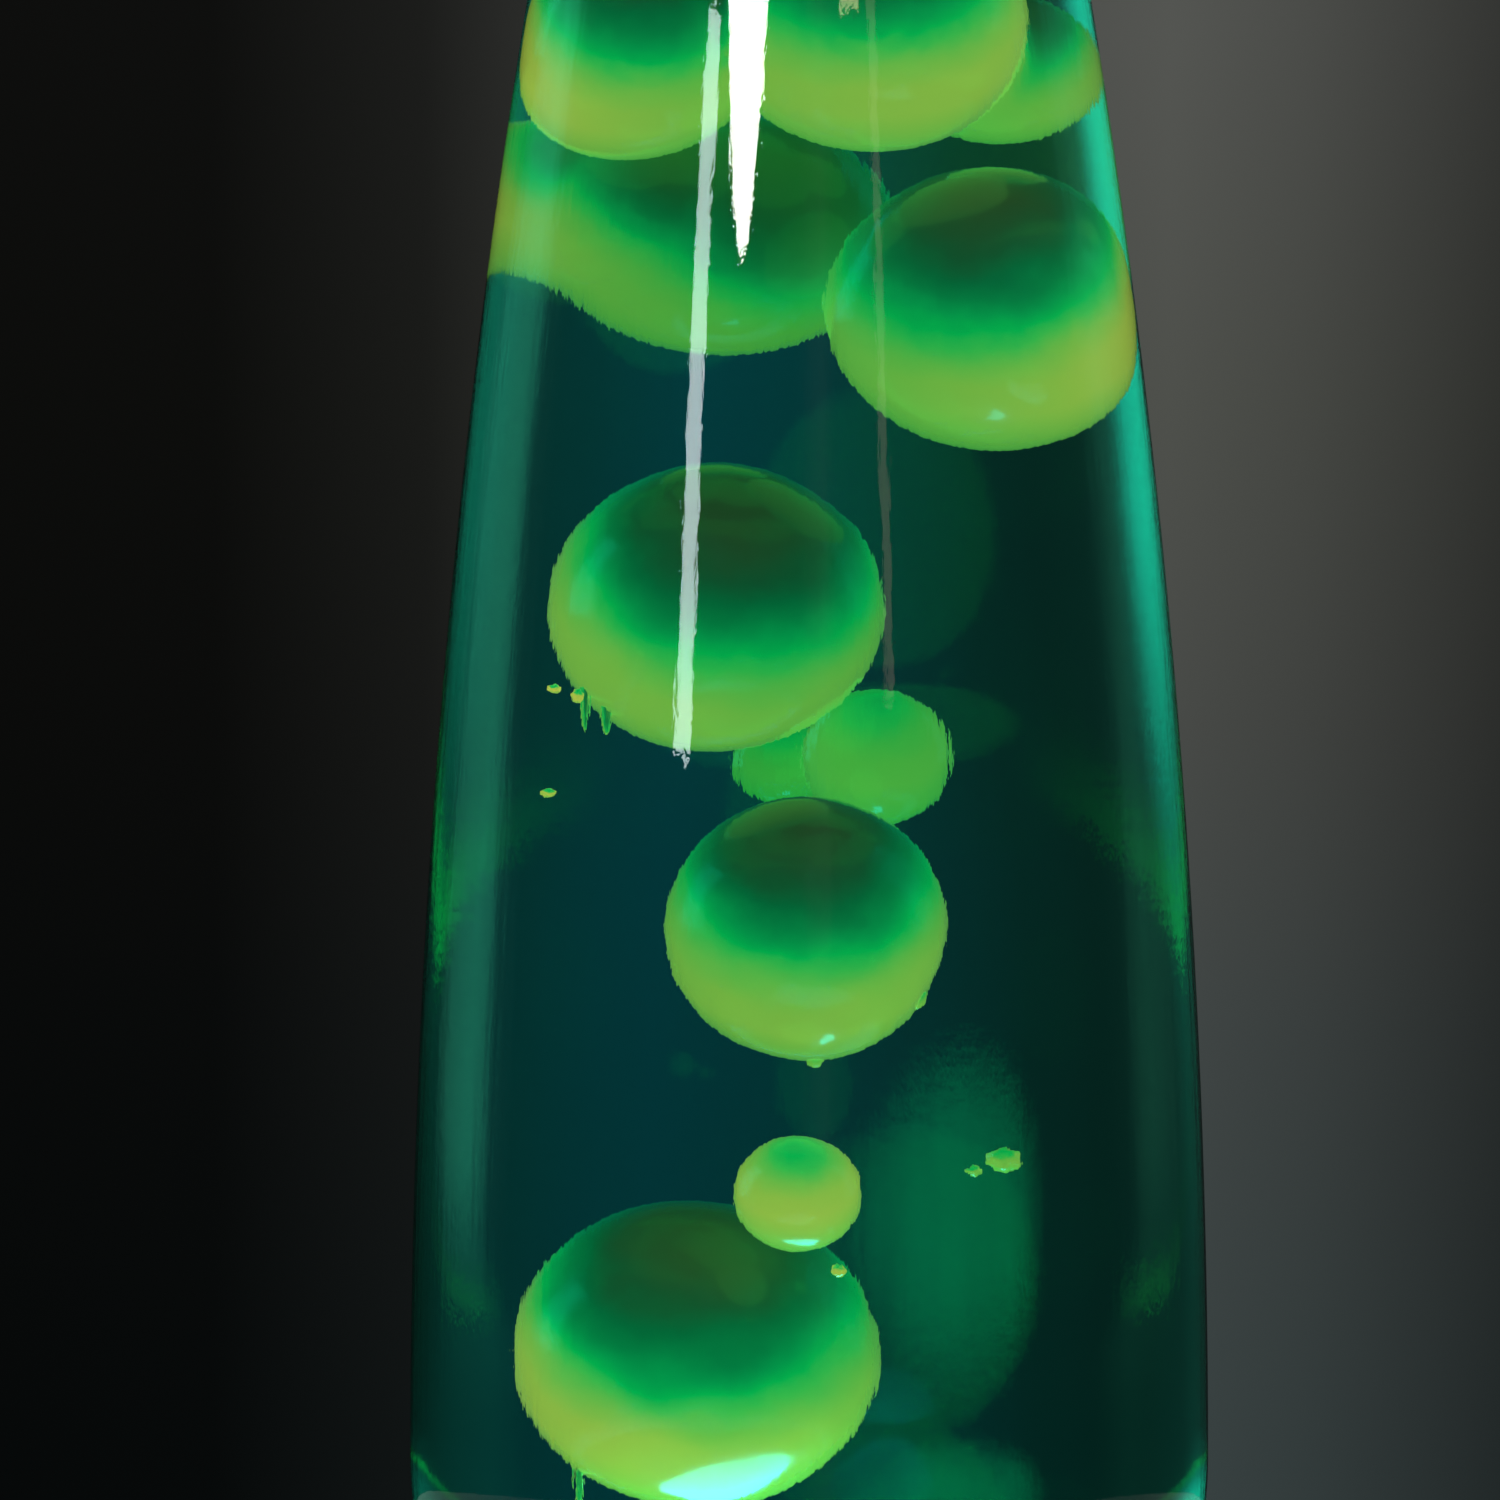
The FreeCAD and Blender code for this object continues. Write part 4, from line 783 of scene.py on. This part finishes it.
def spin_outline(name: str, points: list[Point], closed: bool, steps: int = ROUND,
                 smooth_angle: float = 35.0) -> bpy.types.Object:
    """Spin a profile round the lamp's axis.

    Args:
        name: the piece's name.
        points: the profile's points.
        closed: whether the last point joins the first.
        steps: how many steps a full turn has.
        smooth_angle: edges sharper than this stay sharp, in degrees.

    Returns:
        The object.
    """
    mesh = bmesh.new()
    corners = [mesh.verts.new((radius, 0.0, height)) for radius, height in points]
    runs = [mesh.edges.new(pair) for pair in zip(corners[:-1], corners[1:])]
    if closed:
        runs.append(mesh.edges.new((corners[-1], corners[0])))
    bmesh.ops.spin(mesh, geom=corners + runs, cent=(0, 0, 0), axis=(0, 0, 1), angle=math.tau, steps=steps,
                   use_merge=True)
    bmesh.ops.remove_doubles(mesh, verts=mesh.verts, dist=1e-6)
    return finish_mesh(name, mesh, smooth_angle)


def baked(piece: bpy.types.Object) -> bpy.types.Object:
    """Apply a piece's modifiers and return it."""
    view = bpy.context.evaluated_depsgraph_get()
    data = bpy.data.meshes.new_from_object(piece.evaluated_get(view))
    old = piece.data
    piece.modifiers.clear()
    piece.data = data
    data.name = piece.name
    bpy.data.meshes.remove(old)
    return piece


# ---------------------------------------------------------------- globe
@dataclass
class Bottle:
    """The glass globe and the liquid in it."""

    widest_r: float = 0.047
    widest_z: float = 0.155
    shoulder_r: float = 0.0256
    shoulder_z: float = 0.368
    wall: float = 0.003
    bottom_z: float = 0.097
    tumble_r: float = 0.058
    cone_tilt: float = math.degrees(math.atan(0.2375))
    heel_r: float = 0.004
    ring_r: float = 0.0285
    punt: float = 0.003
    floor_t: float = 0.0035
    shoulder_bend: float = 0.012
    shoulder_turn: float = 55.0
    neck_bend: float = 0.007
    neck_r: float = 0.0126
    neck_top: float = 0.4036
    lip_r: float = 0.0133
    lip_top: float = 0.40975
    lip_bend: float = 0.0019
    liquid_top: float = 0.374
    liquid_overlap: float = 0.0003
    meniscus: float = 0.0011

    def flank(self) -> tuple[float, float]:
        """Return the flank's arc radius and its turn in degrees."""
        rise = self.shoulder_z - self.widest_z
        draw = self.widest_r - self.shoulder_r
        bend = (rise ** 2 + draw ** 2) / (2.0 * draw)
        return bend, math.degrees(math.asin(rise / bend))

    def upper(self, inset: float) -> Outline:
        """Return one face of the wall from the widest level to the neck."""
        bend, turn = self.flank()
        lean = turn + self.shoulder_turn
        probe = Outline(self.widest_r, self.widest_z)
        probe.arc(bend, turn).arc(self.shoulder_bend, self.shoulder_turn)
        drop = self.neck_bend * (1.0 - math.cos(math.radians(lean)))
        run = (probe.radius - drop - self.neck_r) / math.sin(math.radians(lean))
        line = Outline(self.widest_r - inset, self.widest_z)
        line.arc(bend - inset, turn, 40).arc(self.shoulder_bend - inset, self.shoulder_turn, 10).line(run)
        return line.arc(self.neck_bend + inset, -lean, 10)

    def lower(self, inset: float, floor_z: float) -> Outline:
        """Return one face of the wall from the widest level down to the standing ring and the punt."""
        heel = max(self.heel_r - inset, 0.001)
        line = Outline(self.widest_r - inset, self.widest_z, -90.0)
        line.arc(self.tumble_r - inset, -self.cone_tilt, 14)
        tilt = math.radians(self.cone_tilt)
        drop = heel * (1.0 - math.sin(tilt))
        line.line((line.height - floor_z - drop) / math.cos(tilt))
        line.arc(heel, -(90.0 - self.cone_tilt), 8)
        line.to(self.ring_r, floor_z)
        for step in range(1, 9):
            part = step / 8.0
            line.to(self.ring_r * (1.0 - part), floor_z + self.punt * math.sin(part * math.pi / 2.0))
        return line

    def build_glass(self) -> bpy.types.Object:
        """Spin the bottle's wall, closed inside and out."""
        outer = self.upper(0.0)
        outer.to(self.neck_r, self.neck_top).to(self.lip_r, self.neck_top + self.lip_r - self.neck_r)
        outer.to(self.lip_r, self.lip_top - self.lip_bend)
        outer.heading = 90.0
        outer.arc(self.lip_bend, 90.0, 8)
        inner = self.upper(self.wall)
        outer.to(inner.radius, self.lip_top)
        floor_z = self.bottom_z + self.floor_t
        under = self.lower(0.0, self.bottom_z)
        inside = self.lower(self.wall, floor_z)
        wall = list(reversed(under.points)) + outer.points[1:]
        wall += list(reversed(inner.points)) + inside.points[1:]
        return spin_outline("globe_glass_wall", wall, closed=False, steps=FINE_ROUND)

    def build_liquid(self) -> bpy.types.Object:
        """Spin the liquid, which meets the glass and has a slight meniscus at the top."""
        inset = self.wall - self.liquid_overlap
        side = self.upper(inset)
        kept = [point for point in side.points if point[1] < self.liquid_top]
        edge = kept[-1][0] - (self.liquid_top - kept[-1][1]) * 0.9
        slack = self.liquid_top - self.meniscus
        top = [(edge, self.liquid_top), (edge - 0.0008, self.liquid_top - 0.0008),
               (edge - 2.0 * self.meniscus, slack), (0.0, slack)]
        floor_z = self.bottom_z + self.floor_t - self.liquid_overlap
        bottom = self.lower(inset, floor_z)
        outline = list(reversed(bottom.points)) + kept[1:] + top
        return spin_outline("dyed_liquid_fill", outline, closed=False, steps=FINE_ROUND)


@dataclass(frozen=True)
class Lobe:
    """One rounded part of a wax piece: its middle and its three half sizes."""

    x: float
    y: float
    z: float
    across: float
    deep: float
    tall: float

    def matrix(self) -> Matrix:
        """Return the transform that makes it from a unit ball."""
        place = Matrix.Translation((self.x, self.y, self.z))
        return place @ Matrix.Diagonal((self.across, self.deep, self.tall, 1.0))


@dataclass(frozen=True)
class WaxPiece:
    """A wax blob, which is one or more lobes run together."""

    name: str
    body: str
    nodes: tuple[str, ...]
    lobes: tuple[Lobe, ...]
    tips: tuple[Lobe, ...] = ()
    finish: Finish = Finish.WAX
    seed: float = 0.0
    ripple: float = 0.018
    voxel: float = 0.0008

    def build(self) -> bpy.types.Object:
        """Merge the lobes into one skin, then let it ripple a little."""
        mesh = bmesh.new()
        for lobe in self.lobes:
            bmesh.ops.create_icosphere(mesh, subdivisions=4, radius=1.0, matrix=lobe.matrix())
        piece = finish_mesh(self.name, mesh, 180.0)
        if len(self.lobes) > 1:
            skin = piece.modifiers.new("skin", "REMESH")
            skin.mode = "VOXEL"
            skin.voxel_size = self.voxel
            even = piece.modifiers.new("even", "SMOOTH")
            even.factor = 0.5
            even.iterations = 14
        else:
            skin = piece.modifiers.new("skin", "SUBSURF")
            skin.levels = 1
            skin.render_levels = 1
        baked(piece)
        mesh = bmesh.new()
        mesh.from_mesh(piece.data)
        middle = Vector((self.lobes[0].x, self.lobes[0].y, self.lobes[0].z))
        for vertex in mesh.verts:
            away = vertex.co - middle
            way = away.normalized()
            swell = noise.noise(way * 1.3 + Vector((self.seed, self.seed * 0.7, 0.0)))
            swell += 0.35 * noise.noise(way * 3.1 + Vector((0.0, self.seed, self.seed)))
            vertex.co = vertex.co + away * (swell * self.ripple)
        for tip in self.tips:
            bmesh.ops.create_icosphere(mesh, subdivisions=3, radius=1.0, matrix=tip.matrix())
        mesh.to_mesh(piece.data)
        mesh.free()
        for face in piece.data.polygons:
            face.use_smooth = True
        return piece


@dataclass
class Wax:
    """All the wax in the globe."""

    pieces: tuple[WaxPiece, ...] = (
        WaxPiece("wax_lower_blob", "wax_lower", ("wax_blob_lower",),
                 (Lobe(-0.0103, -0.0040, 0.1676, 0.0168, 0.0168, 0.0176),),
                 tips=(Lobe(-0.0212, -0.0052, 0.1552, 0.0004, 0.0004, 0.0050),), finish=Finish.LOW_WAX_PAINTED_GLOW,
                 seed=1.7, ripple=0.025),
        WaxPiece("wax_small_blob", "wax_small", ("wax_blob_small",),
                 (Lobe(-0.0014, -0.0240, 0.1873, 0.0064, 0.0064, 0.0066),), finish=Finish.THIN_WAX_PAINTED_GLOW, seed=4.1),
        WaxPiece("wax_middle_blob", "wax_middle", ("wax_blob_middle",),
                 (Lobe(-0.0005, -0.0170, 0.2169, 0.0137, 0.0137, 0.0150),),
                 tips=(Lobe(0.0004, -0.0172, 0.2030, 0.0011, 0.0011, 0.0019),
                       Lobe(0.0101, -0.0178, 0.2094, 0.0013, 0.0013, 0.0017)), seed=2.9, ripple=0.02),
        WaxPiece("wax_pair_right_blob", "wax_pair_right", ("wax_blob_pair_right",),
                 (Lobe(0.0058, 0.0070, 0.2358, 0.0065, 0.0065, 0.0080),), finish=Finish.THIN_WAX_PAINTED_GLOW, seed=8.3),
        WaxPiece("wax_pair_left_blob", "wax_pair_left", ("wax_blob_pair_left",),
                 (Lobe(-0.0019, 0.0180, 0.2348, 0.0041, 0.0041, 0.0047),), finish=Finish.THIN_WAX_PAINTED_GLOW, seed=5.2),
        WaxPiece("wax_upper_blob", "wax_upper", ("wax_blob_upper",),
                 (Lobe(-0.0090, -0.0080, 0.2533, 0.0159, 0.0159, 0.0167),),
                 tips=(Lobe(-0.0216, -0.0105, 0.2446, 0.0005, 0.0005, 0.0056),
                       Lobe(-0.0196, -0.0112, 0.2418, 0.0005, 0.0005, 0.0030)),
                 finish=Finish.DEEP_WAX_PAINTED_SHADE, seed=3.6, ripple=0.02),
        WaxPiece("wax_right_blob", "wax_right", ("wax_blob_right",),
                 (Lobe(0.0170, -0.0030, 0.2879, 0.0158, 0.0158, 0.0165),), seed=6.4),
        WaxPiece("wax_back_blob", "wax_back", ("wax_blob_back",),
                 (Lobe(-0.0064, 0.0174, 0.2970, 0.0136, 0.0136, 0.0144),
                  Lobe(-0.0130, 0.0170, 0.3005, 0.0115, 0.0125, 0.0115),
                  Lobe(-0.0180, 0.0165, 0.3030, 0.0086, 0.0086, 0.0084)),
                 finish=Finish.BACK_WAX_PAINTED_SHADE, seed=7.9, ripple=0.0),
        WaxPiece("wax_top_mass", "wax_top", ("wax_top",),
                 (Lobe(-0.0164, -0.0030, 0.3190, 0.0128, 0.0128, 0.0140),
                  Lobe(0.0058, -0.0070, 0.3214, 0.0151, 0.0151, 0.0158),
                  Lobe(0.0155, 0.0085, 0.3164, 0.0085, 0.0085, 0.0092),
                  Lobe(-0.0030, 0.0030, 0.3310, 0.0170, 0.0170, 0.0165)), seed=9.2, ripple=0.0),
    )
    beads: tuple[Lobe, ...] = (
        Lobe(0.0185, -0.0120, 0.1903, 0.0017, 0.0015, 0.0013),
        Lobe(0.0027, -0.0330, 0.1793, 0.0007, 0.0007, 0.0007),
        Lobe(-0.0245, -0.0240, 0.2435, 0.0007, 0.0007, 0.0008),
        Lobe(-0.0275, -0.0220, 0.2325, 0.0009, 0.0009, 0.0005),
        Lobe(-0.0273, -0.0240, 0.2444, 0.0008, 0.0008, 0.0005),
        Lobe(0.0156, -0.0140, 0.1892, 0.0007, 0.0007, 0.0006),
    )
    pool_top: float = 0.121
    pool_edge: float = 0.110
    pool_gap: float = 0.0003

    def build_beads(self) -> bpy.types.Object:
        """Make the loose drops, each a little uneven."""
        mesh = bmesh.new()
        for lobe in self.beads:
            made = bmesh.ops.create_icosphere(mesh, subdivisions=3, radius=1.0, matrix=lobe.matrix())
            middle = Vector((lobe.x, lobe.y, lobe.z))
            for vertex in made["verts"]:
                away = vertex.co - middle
                vertex.co = vertex.co + away * 0.45 * noise.noise(away.normalized() * 2.3 + middle * 900.0)
        return finish_mesh("wax_loose_beads", mesh, 180.0)

    def build_pool(self, bottle: Bottle) -> bpy.types.Object:
        """Spin the wax left in the bottom, with a slack dome."""
        inset = bottle.wall + self.pool_gap
        floor_z = bottle.bottom_z + bottle.floor_t + self.pool_gap
        side = bottle.lower(inset, floor_z)
        wall = [point for point in side.points if point[1] < self.pool_edge + 0.0005]
        rim = wall[0][0]
        rise = self.pool_top - self.pool_edge
        steps = 12
        dome = []
        for step in range(steps):
            part = step / steps
            dome.append((rim * part, self.pool_edge + rise * math.cos(part * math.pi / 2.0) ** 0.9))
        return spin_outline("wax_bottom_pool", dome + wall, closed=False, steps=96, smooth_angle=180.0)


@dataclass
class Globe:
    """The sealed globe: glass, liquid, wax, coil and closure."""

    bottle: Bottle = field(default_factory=Bottle)
    wax: Wax = field(default_factory=Wax)

    def build(self, paints: Paintbox) -> None:
        """Make and dress every piece of the globe."""
        glass = self.bottle.build_glass()
        add_piece(glass, paints, Finish.GLASS, "globe", "globe_glass", "glass_globe")
        liquid = self.bottle.build_liquid()
        add_piece(liquid, paints, Finish.LIQUID, "globe", "liquid", "liquid_fill")
        for wax in self.wax.pieces:
            add_piece(wax.build(), paints, wax.finish, wax.body, "wax", *wax.nodes)
        add_piece(self.wax.build_beads(), paints, Finish.THIN_WAX_PAINTED_GLOW, "globe", "wax", "wax_beads")
        add_piece(self.wax.build_pool(self.bottle), paints, Finish.WAX, "globe", "wax", "wax_pool")
        paints.dress("heating_coil", Finish.SPRING)
        paints.dress("crown_cap", Finish.TIN)
        paints.dress("crown_liner", Finish.SEAL)


def add_piece(piece: bpy.types.Object, paints: Paintbox, finish: Finish, body: str, slot: str,
              *nodes: str) -> bpy.types.Object:
    """Dress a new piece, ride it on its body and let it stand for its frame nodes.

    Args:
        piece: the new object.
        paints: where its material comes from.
        finish: its finish.
        body: the body that it moves with.
        slot: not used.
        nodes: the frame nodes that it replaces.

    Returns:
        The piece.
    """
    piece.data.materials.clear()
    piece.data.materials.append(paints.get(finish))
    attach(piece, body)
    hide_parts(*nodes)
    LOG.info("%s: %d faces, %s", piece.name, len(piece.data.polygons), finish.value.name)
    return piece


# ---------------------------------------------------------------- base and cap
@dataclass
class SpunBase:
    """The flaring cup on its skirt, and what they carry."""

    sheet: float = 0.0009
    rim_z: float = 0.143
    rim_r: float = 0.0476
    floor_z: float = 0.071
    waist_r: float = 0.0305
    hole_r: float = 0.0216
    waist_corner: float = 0.0016
    bead: float = 0.0009
    bead_start: float = 50.0

    def build_cup(self) -> bpy.types.Object:
        """Spin the cup with its rolled rim."""
        outer = Outline(self.hole_r, self.floor_z, 0.0)
        tilt = math.degrees(math.atan2(self.rim_z - self.floor_z, self.rim_r - self.waist_r))
        corner = self.waist_corner
        reach = corner * math.tan(math.radians(tilt) / 2.0)
        outer.to(self.waist_r - reach, self.floor_z)
        outer.arc(corner, tilt, 8)
        height = self.rim_z - self.bead * 2.0
        outer.line((height - outer.height) / math.sin(math.radians(tilt)))
        outer.arc(0.0005, -self.bead_start, 4)
        outer.arc(self.bead, 205.0, 16)
        inner_top = (outer.radius, outer.height - 0.0004)
        top = self.floor_z + self.sheet
        slope = (self.rim_r - self.waist_r) / (self.rim_z - self.floor_z)
        inner_rim = (self.rim_r - self.sheet - slope * corner, self.rim_z - corner)
        inner_foot = (self.waist_r - self.sheet + slope * corner, top + corner)
        inner = [inner_top, inner_rim, inner_foot, (inner_foot[0] - 0.0012, top), (self.hole_r, top)]
        return spin_outline("base_cup", outer.points + inner, closed=True)

    def build(self, paints: Paintbox) -> None:
        """Make the cup, and dress the skirt and everything fixed to them."""
        add_piece(self.build_cup(), paints, Finish.SPUN, "base", "base_aluminium", "upper_cup")
        paints.dress("lower_skirt", Finish.SPUN)
        for node, finish in BASE_FINISHES.items():
            paints.dress(node, finish)


BASE_FINISHES = {
    "waist_rivets": Finish.RIVET,
    "rivet_washers": Finish.ZINC,
    "seat_ring": Finish.ZINC,
    "seat_gasket": Finish.SOFT_RUBBER,
    "bottom_plate": Finish.ENAMEL,
    "plate_screws": Finish.ZINC,
    "rubber_feet": Finish.RUBBER,
    "cord_grommet": Finish.RUBBER,
    "socket_bracket": Finish.ZINC,
    "threaded_nipple": Finish.ZINC,
    "nipple_nut": Finish.ZINC,
    "nipple_washer": Finish.ZINC,
    "socket_housing": Finish.PHENOLIC,
    "socket_shell": Finish.BRASS,
    "centre_contact": Finish.BRASS,
    "socket_terminals": Finish.BRASS,
    "terminal_screws": Finish.BRASS,
}


@dataclass
class Cap:
    """The tapered cap over the globe's neck."""

    low_z: float = 0.355
    high_z: float = 0.413
    low_r: float = 0.0302
    high_r: float = 0.020
    sheet: float = 0.0009
    corner: float = 0.003
    bead: float = 0.0008
    bead_start: float = -20.0
    bead_end: float = 35.0

    def build_shell(self) -> bpy.types.Object:
        """Spin the cap with its rolled mouth and rounded crown."""
        tilt = math.degrees(math.atan2(self.high_z - self.low_z, self.high_r - self.low_r))
        start = Outline(self.low_r - 0.0005, self.low_z + 0.0001, self.bead_start)
        start.arc(self.bead, tilt - self.bead_start + self.bead_end, 14)
        start.arc(0.0005, -self.bead_end, 4)
        slope = (self.low_r - self.high_r) / (self.high_z - self.low_z)
        rise = self.corner * (1.0 - math.cos(math.radians(180.0 - tilt)))
        start.to(self.high_r + slope * 0.004, self.high_z - 0.004)
        start.to(self.high_r + slope * rise, self.high_z - self.corner)
        start.heading = tilt
        turn = 180.0 - tilt
        start.arc((self.high_z - start.height) / (1.0 + math.cos(math.radians(tilt))), turn, 10)
        start.to(0.0, self.high_z)
        inside_top = self.high_z - self.sheet
        inner = [(0.0, inside_top), (self.high_r - self.corner - 0.0002, inside_top),
                 (self.high_r - self.sheet + slope * 0.0028, inside_top - 0.0022),
                 (self.low_r - self.sheet - slope * 0.0012, self.low_z + 0.0012)]
        return spin_outline("cap_shell", start.points + inner + [start.points[0]], closed=False)

    def build(self, paints: Paintbox) -> None:
        """Make and dress the cap."""
        add_piece(self.build_shell(), paints, Finish.SPUN, "cap", "cap_aluminium", "top_cap")
        paints.dress("cap_pad", Finish.FELT)


@dataclass
class Bulb:
    """The reflector bulb in its holder."""

    finishes: dict = field(default_factory=lambda: {
        "bulb_envelope": Finish.BULB,
        "bulb_shell": Finish.NICKEL,
        "bulb_insulator": Finish.VITRITE,
        "bulb_tip": Finish.SOLDER,
        "bulb_stem": Finish.STEM,
        "bulb_leads": Finish.SPRING,
        "bulb_filament": Finish.HOT,
    })

    def build(self, paints: Paintbox) -> None:
        """Dress the bulb's pieces."""
        for node, finish in self.finishes.items():
            paints.dress(node, finish)


# ---------------------------------------------------------------- studio
@dataclass(frozen=True)
class Softbox:
    """An area light placed by bearing and height round the lamp and aimed at it.

    With outside_only it is mirrored by the outside of the globe, and not by what is seen through the glass.
    """

    name: str
    bearing: float
    distance: float
    height: float
    width: float
    tall: float
    radiance: float
    colour: Colour = (1.0, 1.0, 1.0)
    shape: str = "RECTANGLE"
    aim_z: float = 0.25
    mirrored: bool = True
    through: bool = True
    on_matt: bool = True
    outside_only: bool = False

    def build(self) -> bpy.types.Object:
        """Make the light, unseen by the camera itself."""
        lamp = bpy.data.lights.new(self.name, "AREA")
        lamp.shape = self.shape
        lamp.size = self.width
        lamp.size_y = self.tall
        area = self.width * self.tall * (math.pi / 4.0 if self.shape == "ELLIPSE" else 1.0)
        lamp.energy = self.radiance * area * math.pi
        lamp.color = self.colour
        if self.outside_only:
            lamp.use_nodes = True
            board = Board(lamp.node_tree)
            depth = board.add("LightPath").outputs["Transmission Depth"]
            strength = lamp.node_tree.nodes["Emission"].inputs["Strength"]
            board.put(board.math("LESS_THAN", depth, 0.5), strength)
        angle = math.radians(self.bearing)
        place = Vector((self.distance * math.sin(angle), -self.distance * math.cos(angle), self.height))
        light = bpy.data.objects.new(self.name, lamp)
        light.location = place
        aim = Vector((0.0, 0.0, self.aim_z)) - place
        light.rotation_euler = aim.to_track_quat("-Z", "Y").to_euler()
        light.visible_camera = False
        light.visible_glossy = self.mirrored
        light.visible_transmission = self.through
        light.visible_diffuse = self.on_matt
        bpy.context.scene.collection.objects.link(light)
        return light


@dataclass
class Studio:
    """The floor, the lights and the camera."""

    eye_z: float = 0.23766
    eye_x: float = -0.00697
    distance: float = 0.700
    frame_width: float = 0.1771
    floor_r: float = 1.0
    surround_r: float = 1.3
    surround_tall: float = 2.4
    surround_z: float = 0.3
    sensor: float = 36.0
    glow_r: float = 0.021
    glow_place: tuple[float, float, float] = (0.002, 0.0, 0.1245)
    glow_power: float = 0.20
    glow_colour: Colour = (1.0, 0.66, 0.52)
    boxes: tuple[Softbox, ...] = (
        Softbox("key_tall_strip", -39.0, 1.5, 0.70, 0.14, 0.50, 11.0, (0.80, 0.97, 1.0), through=False,
                on_matt=False, outside_only=True),
        Softbox("key_window", -25.0, 1.5, 1.22, 0.52, 0.80, 26.0, (1.0, 0.97, 0.94), "ELLIPSE", through=False,
                on_matt=False, outside_only=True),
        Softbox("warm_strip", 15.5, 1.5, 1.32, 0.24, 0.60, 6.0, (1.0, 0.92, 0.45), through=False,
                on_matt=False, outside_only=True),
        Softbox("warm_thread", 24.0, 1.5, 0.80, 0.07, 0.62, 0.9, (1.0, 0.80, 0.62), through=False,
                on_matt=False, outside_only=True),
        Softbox("wide_key", -38.0, 1.6, 1.5, 1.2, 1.2, 2.2, (1.0, 0.98, 0.96), mirrored=False, through=False),
        Softbox("overhead", 10.0, 0.5, 1.9, 1.4, 1.4, 1.6, through=False, outside_only=True),
        Softbox("back_fill", 150.0, 1.7, 1.3, 1.0, 0.8, 0.9, through=False, outside_only=True),
    )

    def build_floor(self, paints: Paintbox) -> None:
        """Make a pale round table top."""
        mesh = bmesh.new()
        bmesh.ops.create_circle(mesh, cap_ends=True, segments=128, radius=self.floor_r)
        floor = finish_mesh("floor", mesh)
        floor.data.materials.append(paints.get(Finish.FLOOR))
        floor.visible_transmission = False

    def build_world(self) -> None:
        """Make a dim grey world that is lightest a little right of the lamp and darker below."""
        world = bpy.data.worlds.new("surround")
        world.use_nodes = True
        bpy.context.scene.world = world
        board = Board(world.node_tree)
        way = board.add("SeparateXYZ", {0: board.add("TexCoord").outputs["Generated"]})
        across = board.remap(way.outputs["X"], -0.16, 0.16)
        greys = ((0.0, 0.0036), (0.22, 0.0042), (0.33, 0.0105), (0.50, 0.045), (0.72, 0.079), (0.79, 0.062),
                 (0.84, 0.046), (0.90, 0.028), (1.0, 0.016))
        level = board.ramp(across, [(stop, (grey,) * 3) for stop, grey in greys])
        height = board.remap(way.outputs["Z"], -0.12, 0.12)
        tint = board.ramp(height, [(0.0, (0.52, 0.70, 0.70)), (0.30, (0.66, 0.78, 0.76)),
                                   (0.52, (0.82, 0.87, 0.80)), (0.75, (0.97, 1.02, 0.90)),
                                   (1.0, (1.12, 1.16, 1.06))])
        node = board.add("Mix", {0: 1.0}, data_type="RGBA", blend_type="MULTIPLY")
        board.put(level, node.inputs[6])
        board.put(tint, node.inputs[7])
        board.put(node.outputs[2], world.node_tree.nodes["Background"].inputs["Color"])

    def build_surround(self, paints: Paintbox) -> None:
        """Make a round wall that is only seen through the globe and gives the liquid something to bend."""
        mesh = bmesh.new()
        bmesh.ops.create_cone(mesh, segments=128, radius1=self.surround_r, radius2=self.surround_r,
                              depth=self.surround_tall, matrix=Matrix.Translation((0.0, 0.0, self.surround_z)))
        wall = finish_mesh("tinted_surround", mesh)
        wall.data.materials.append(paints.get(Finish.SURROUND))
        wall.visible_camera = False
        wall.visible_glossy = False
        wall.visible_diffuse = False
        wall.visible_shadow = False

    def build_glow(self) -> None:
        """Put the light that comes up through the bottom of the globe just above the wax there."""
        lamp = bpy.data.lights.new("glow_from_below", "AREA")
        lamp.shape = "DISK"
        lamp.size = 2.0 * self.glow_r
        lamp.energy = self.glow_power
        lamp.color = self.glow_colour
        light = bpy.data.objects.new("glow_from_below", lamp)
        light.location = self.glow_place
        light.rotation_euler = (math.pi, 0.0, 0.0)
        light.visible_camera = False
        light.visible_transmission = False
        bpy.context.scene.collection.objects.link(light)

    def build_camera(self) -> None:
        """Place the camera level with the middle of the globe."""
        lens = bpy.data.cameras.new("eye")
        lens.sensor_width = self.sensor
        lens.lens = self.sensor * self.distance / self.frame_width
        lens.clip_start = 0.01
        camera = bpy.data.objects.new("eye", lens)
        camera.location = (self.eye_x, -self.distance, self.eye_z)
        camera.rotation_euler = (math.pi / 2.0, 0.0, 0.0)
        bpy.context.scene.collection.objects.link(camera)
        bpy.context.scene.camera = camera

    def build(self, paints: Paintbox) -> None:
        """Set up the whole studio."""
        self.build_camera()
        self.build_floor(paints)
        self.build_world()
        self.build_surround(paints)
        self.build_glow()
        for box in self.boxes:
            box.build()
        scene = bpy.context.scene
        scene.view_settings.view_transform = "Standard"
        scene.cycles.max_bounces = 16
        scene.cycles.transmission_bounces = 16
        scene.cycles.glossy_bounces = 6
        scene.cycles.transparent_max_bounces = 8


def main() -> None:
    """Build the lamp and its studio."""
    logging.basicConfig(level=logging.INFO, format="%(message)s")
    paints = Paintbox()
    Studio().build(paints)
    Globe().build(paints)
    SpunBase().build(paints)
    Cap().build(paints)
    Bulb().build(paints)


if __name__ == "__main__":
    main()
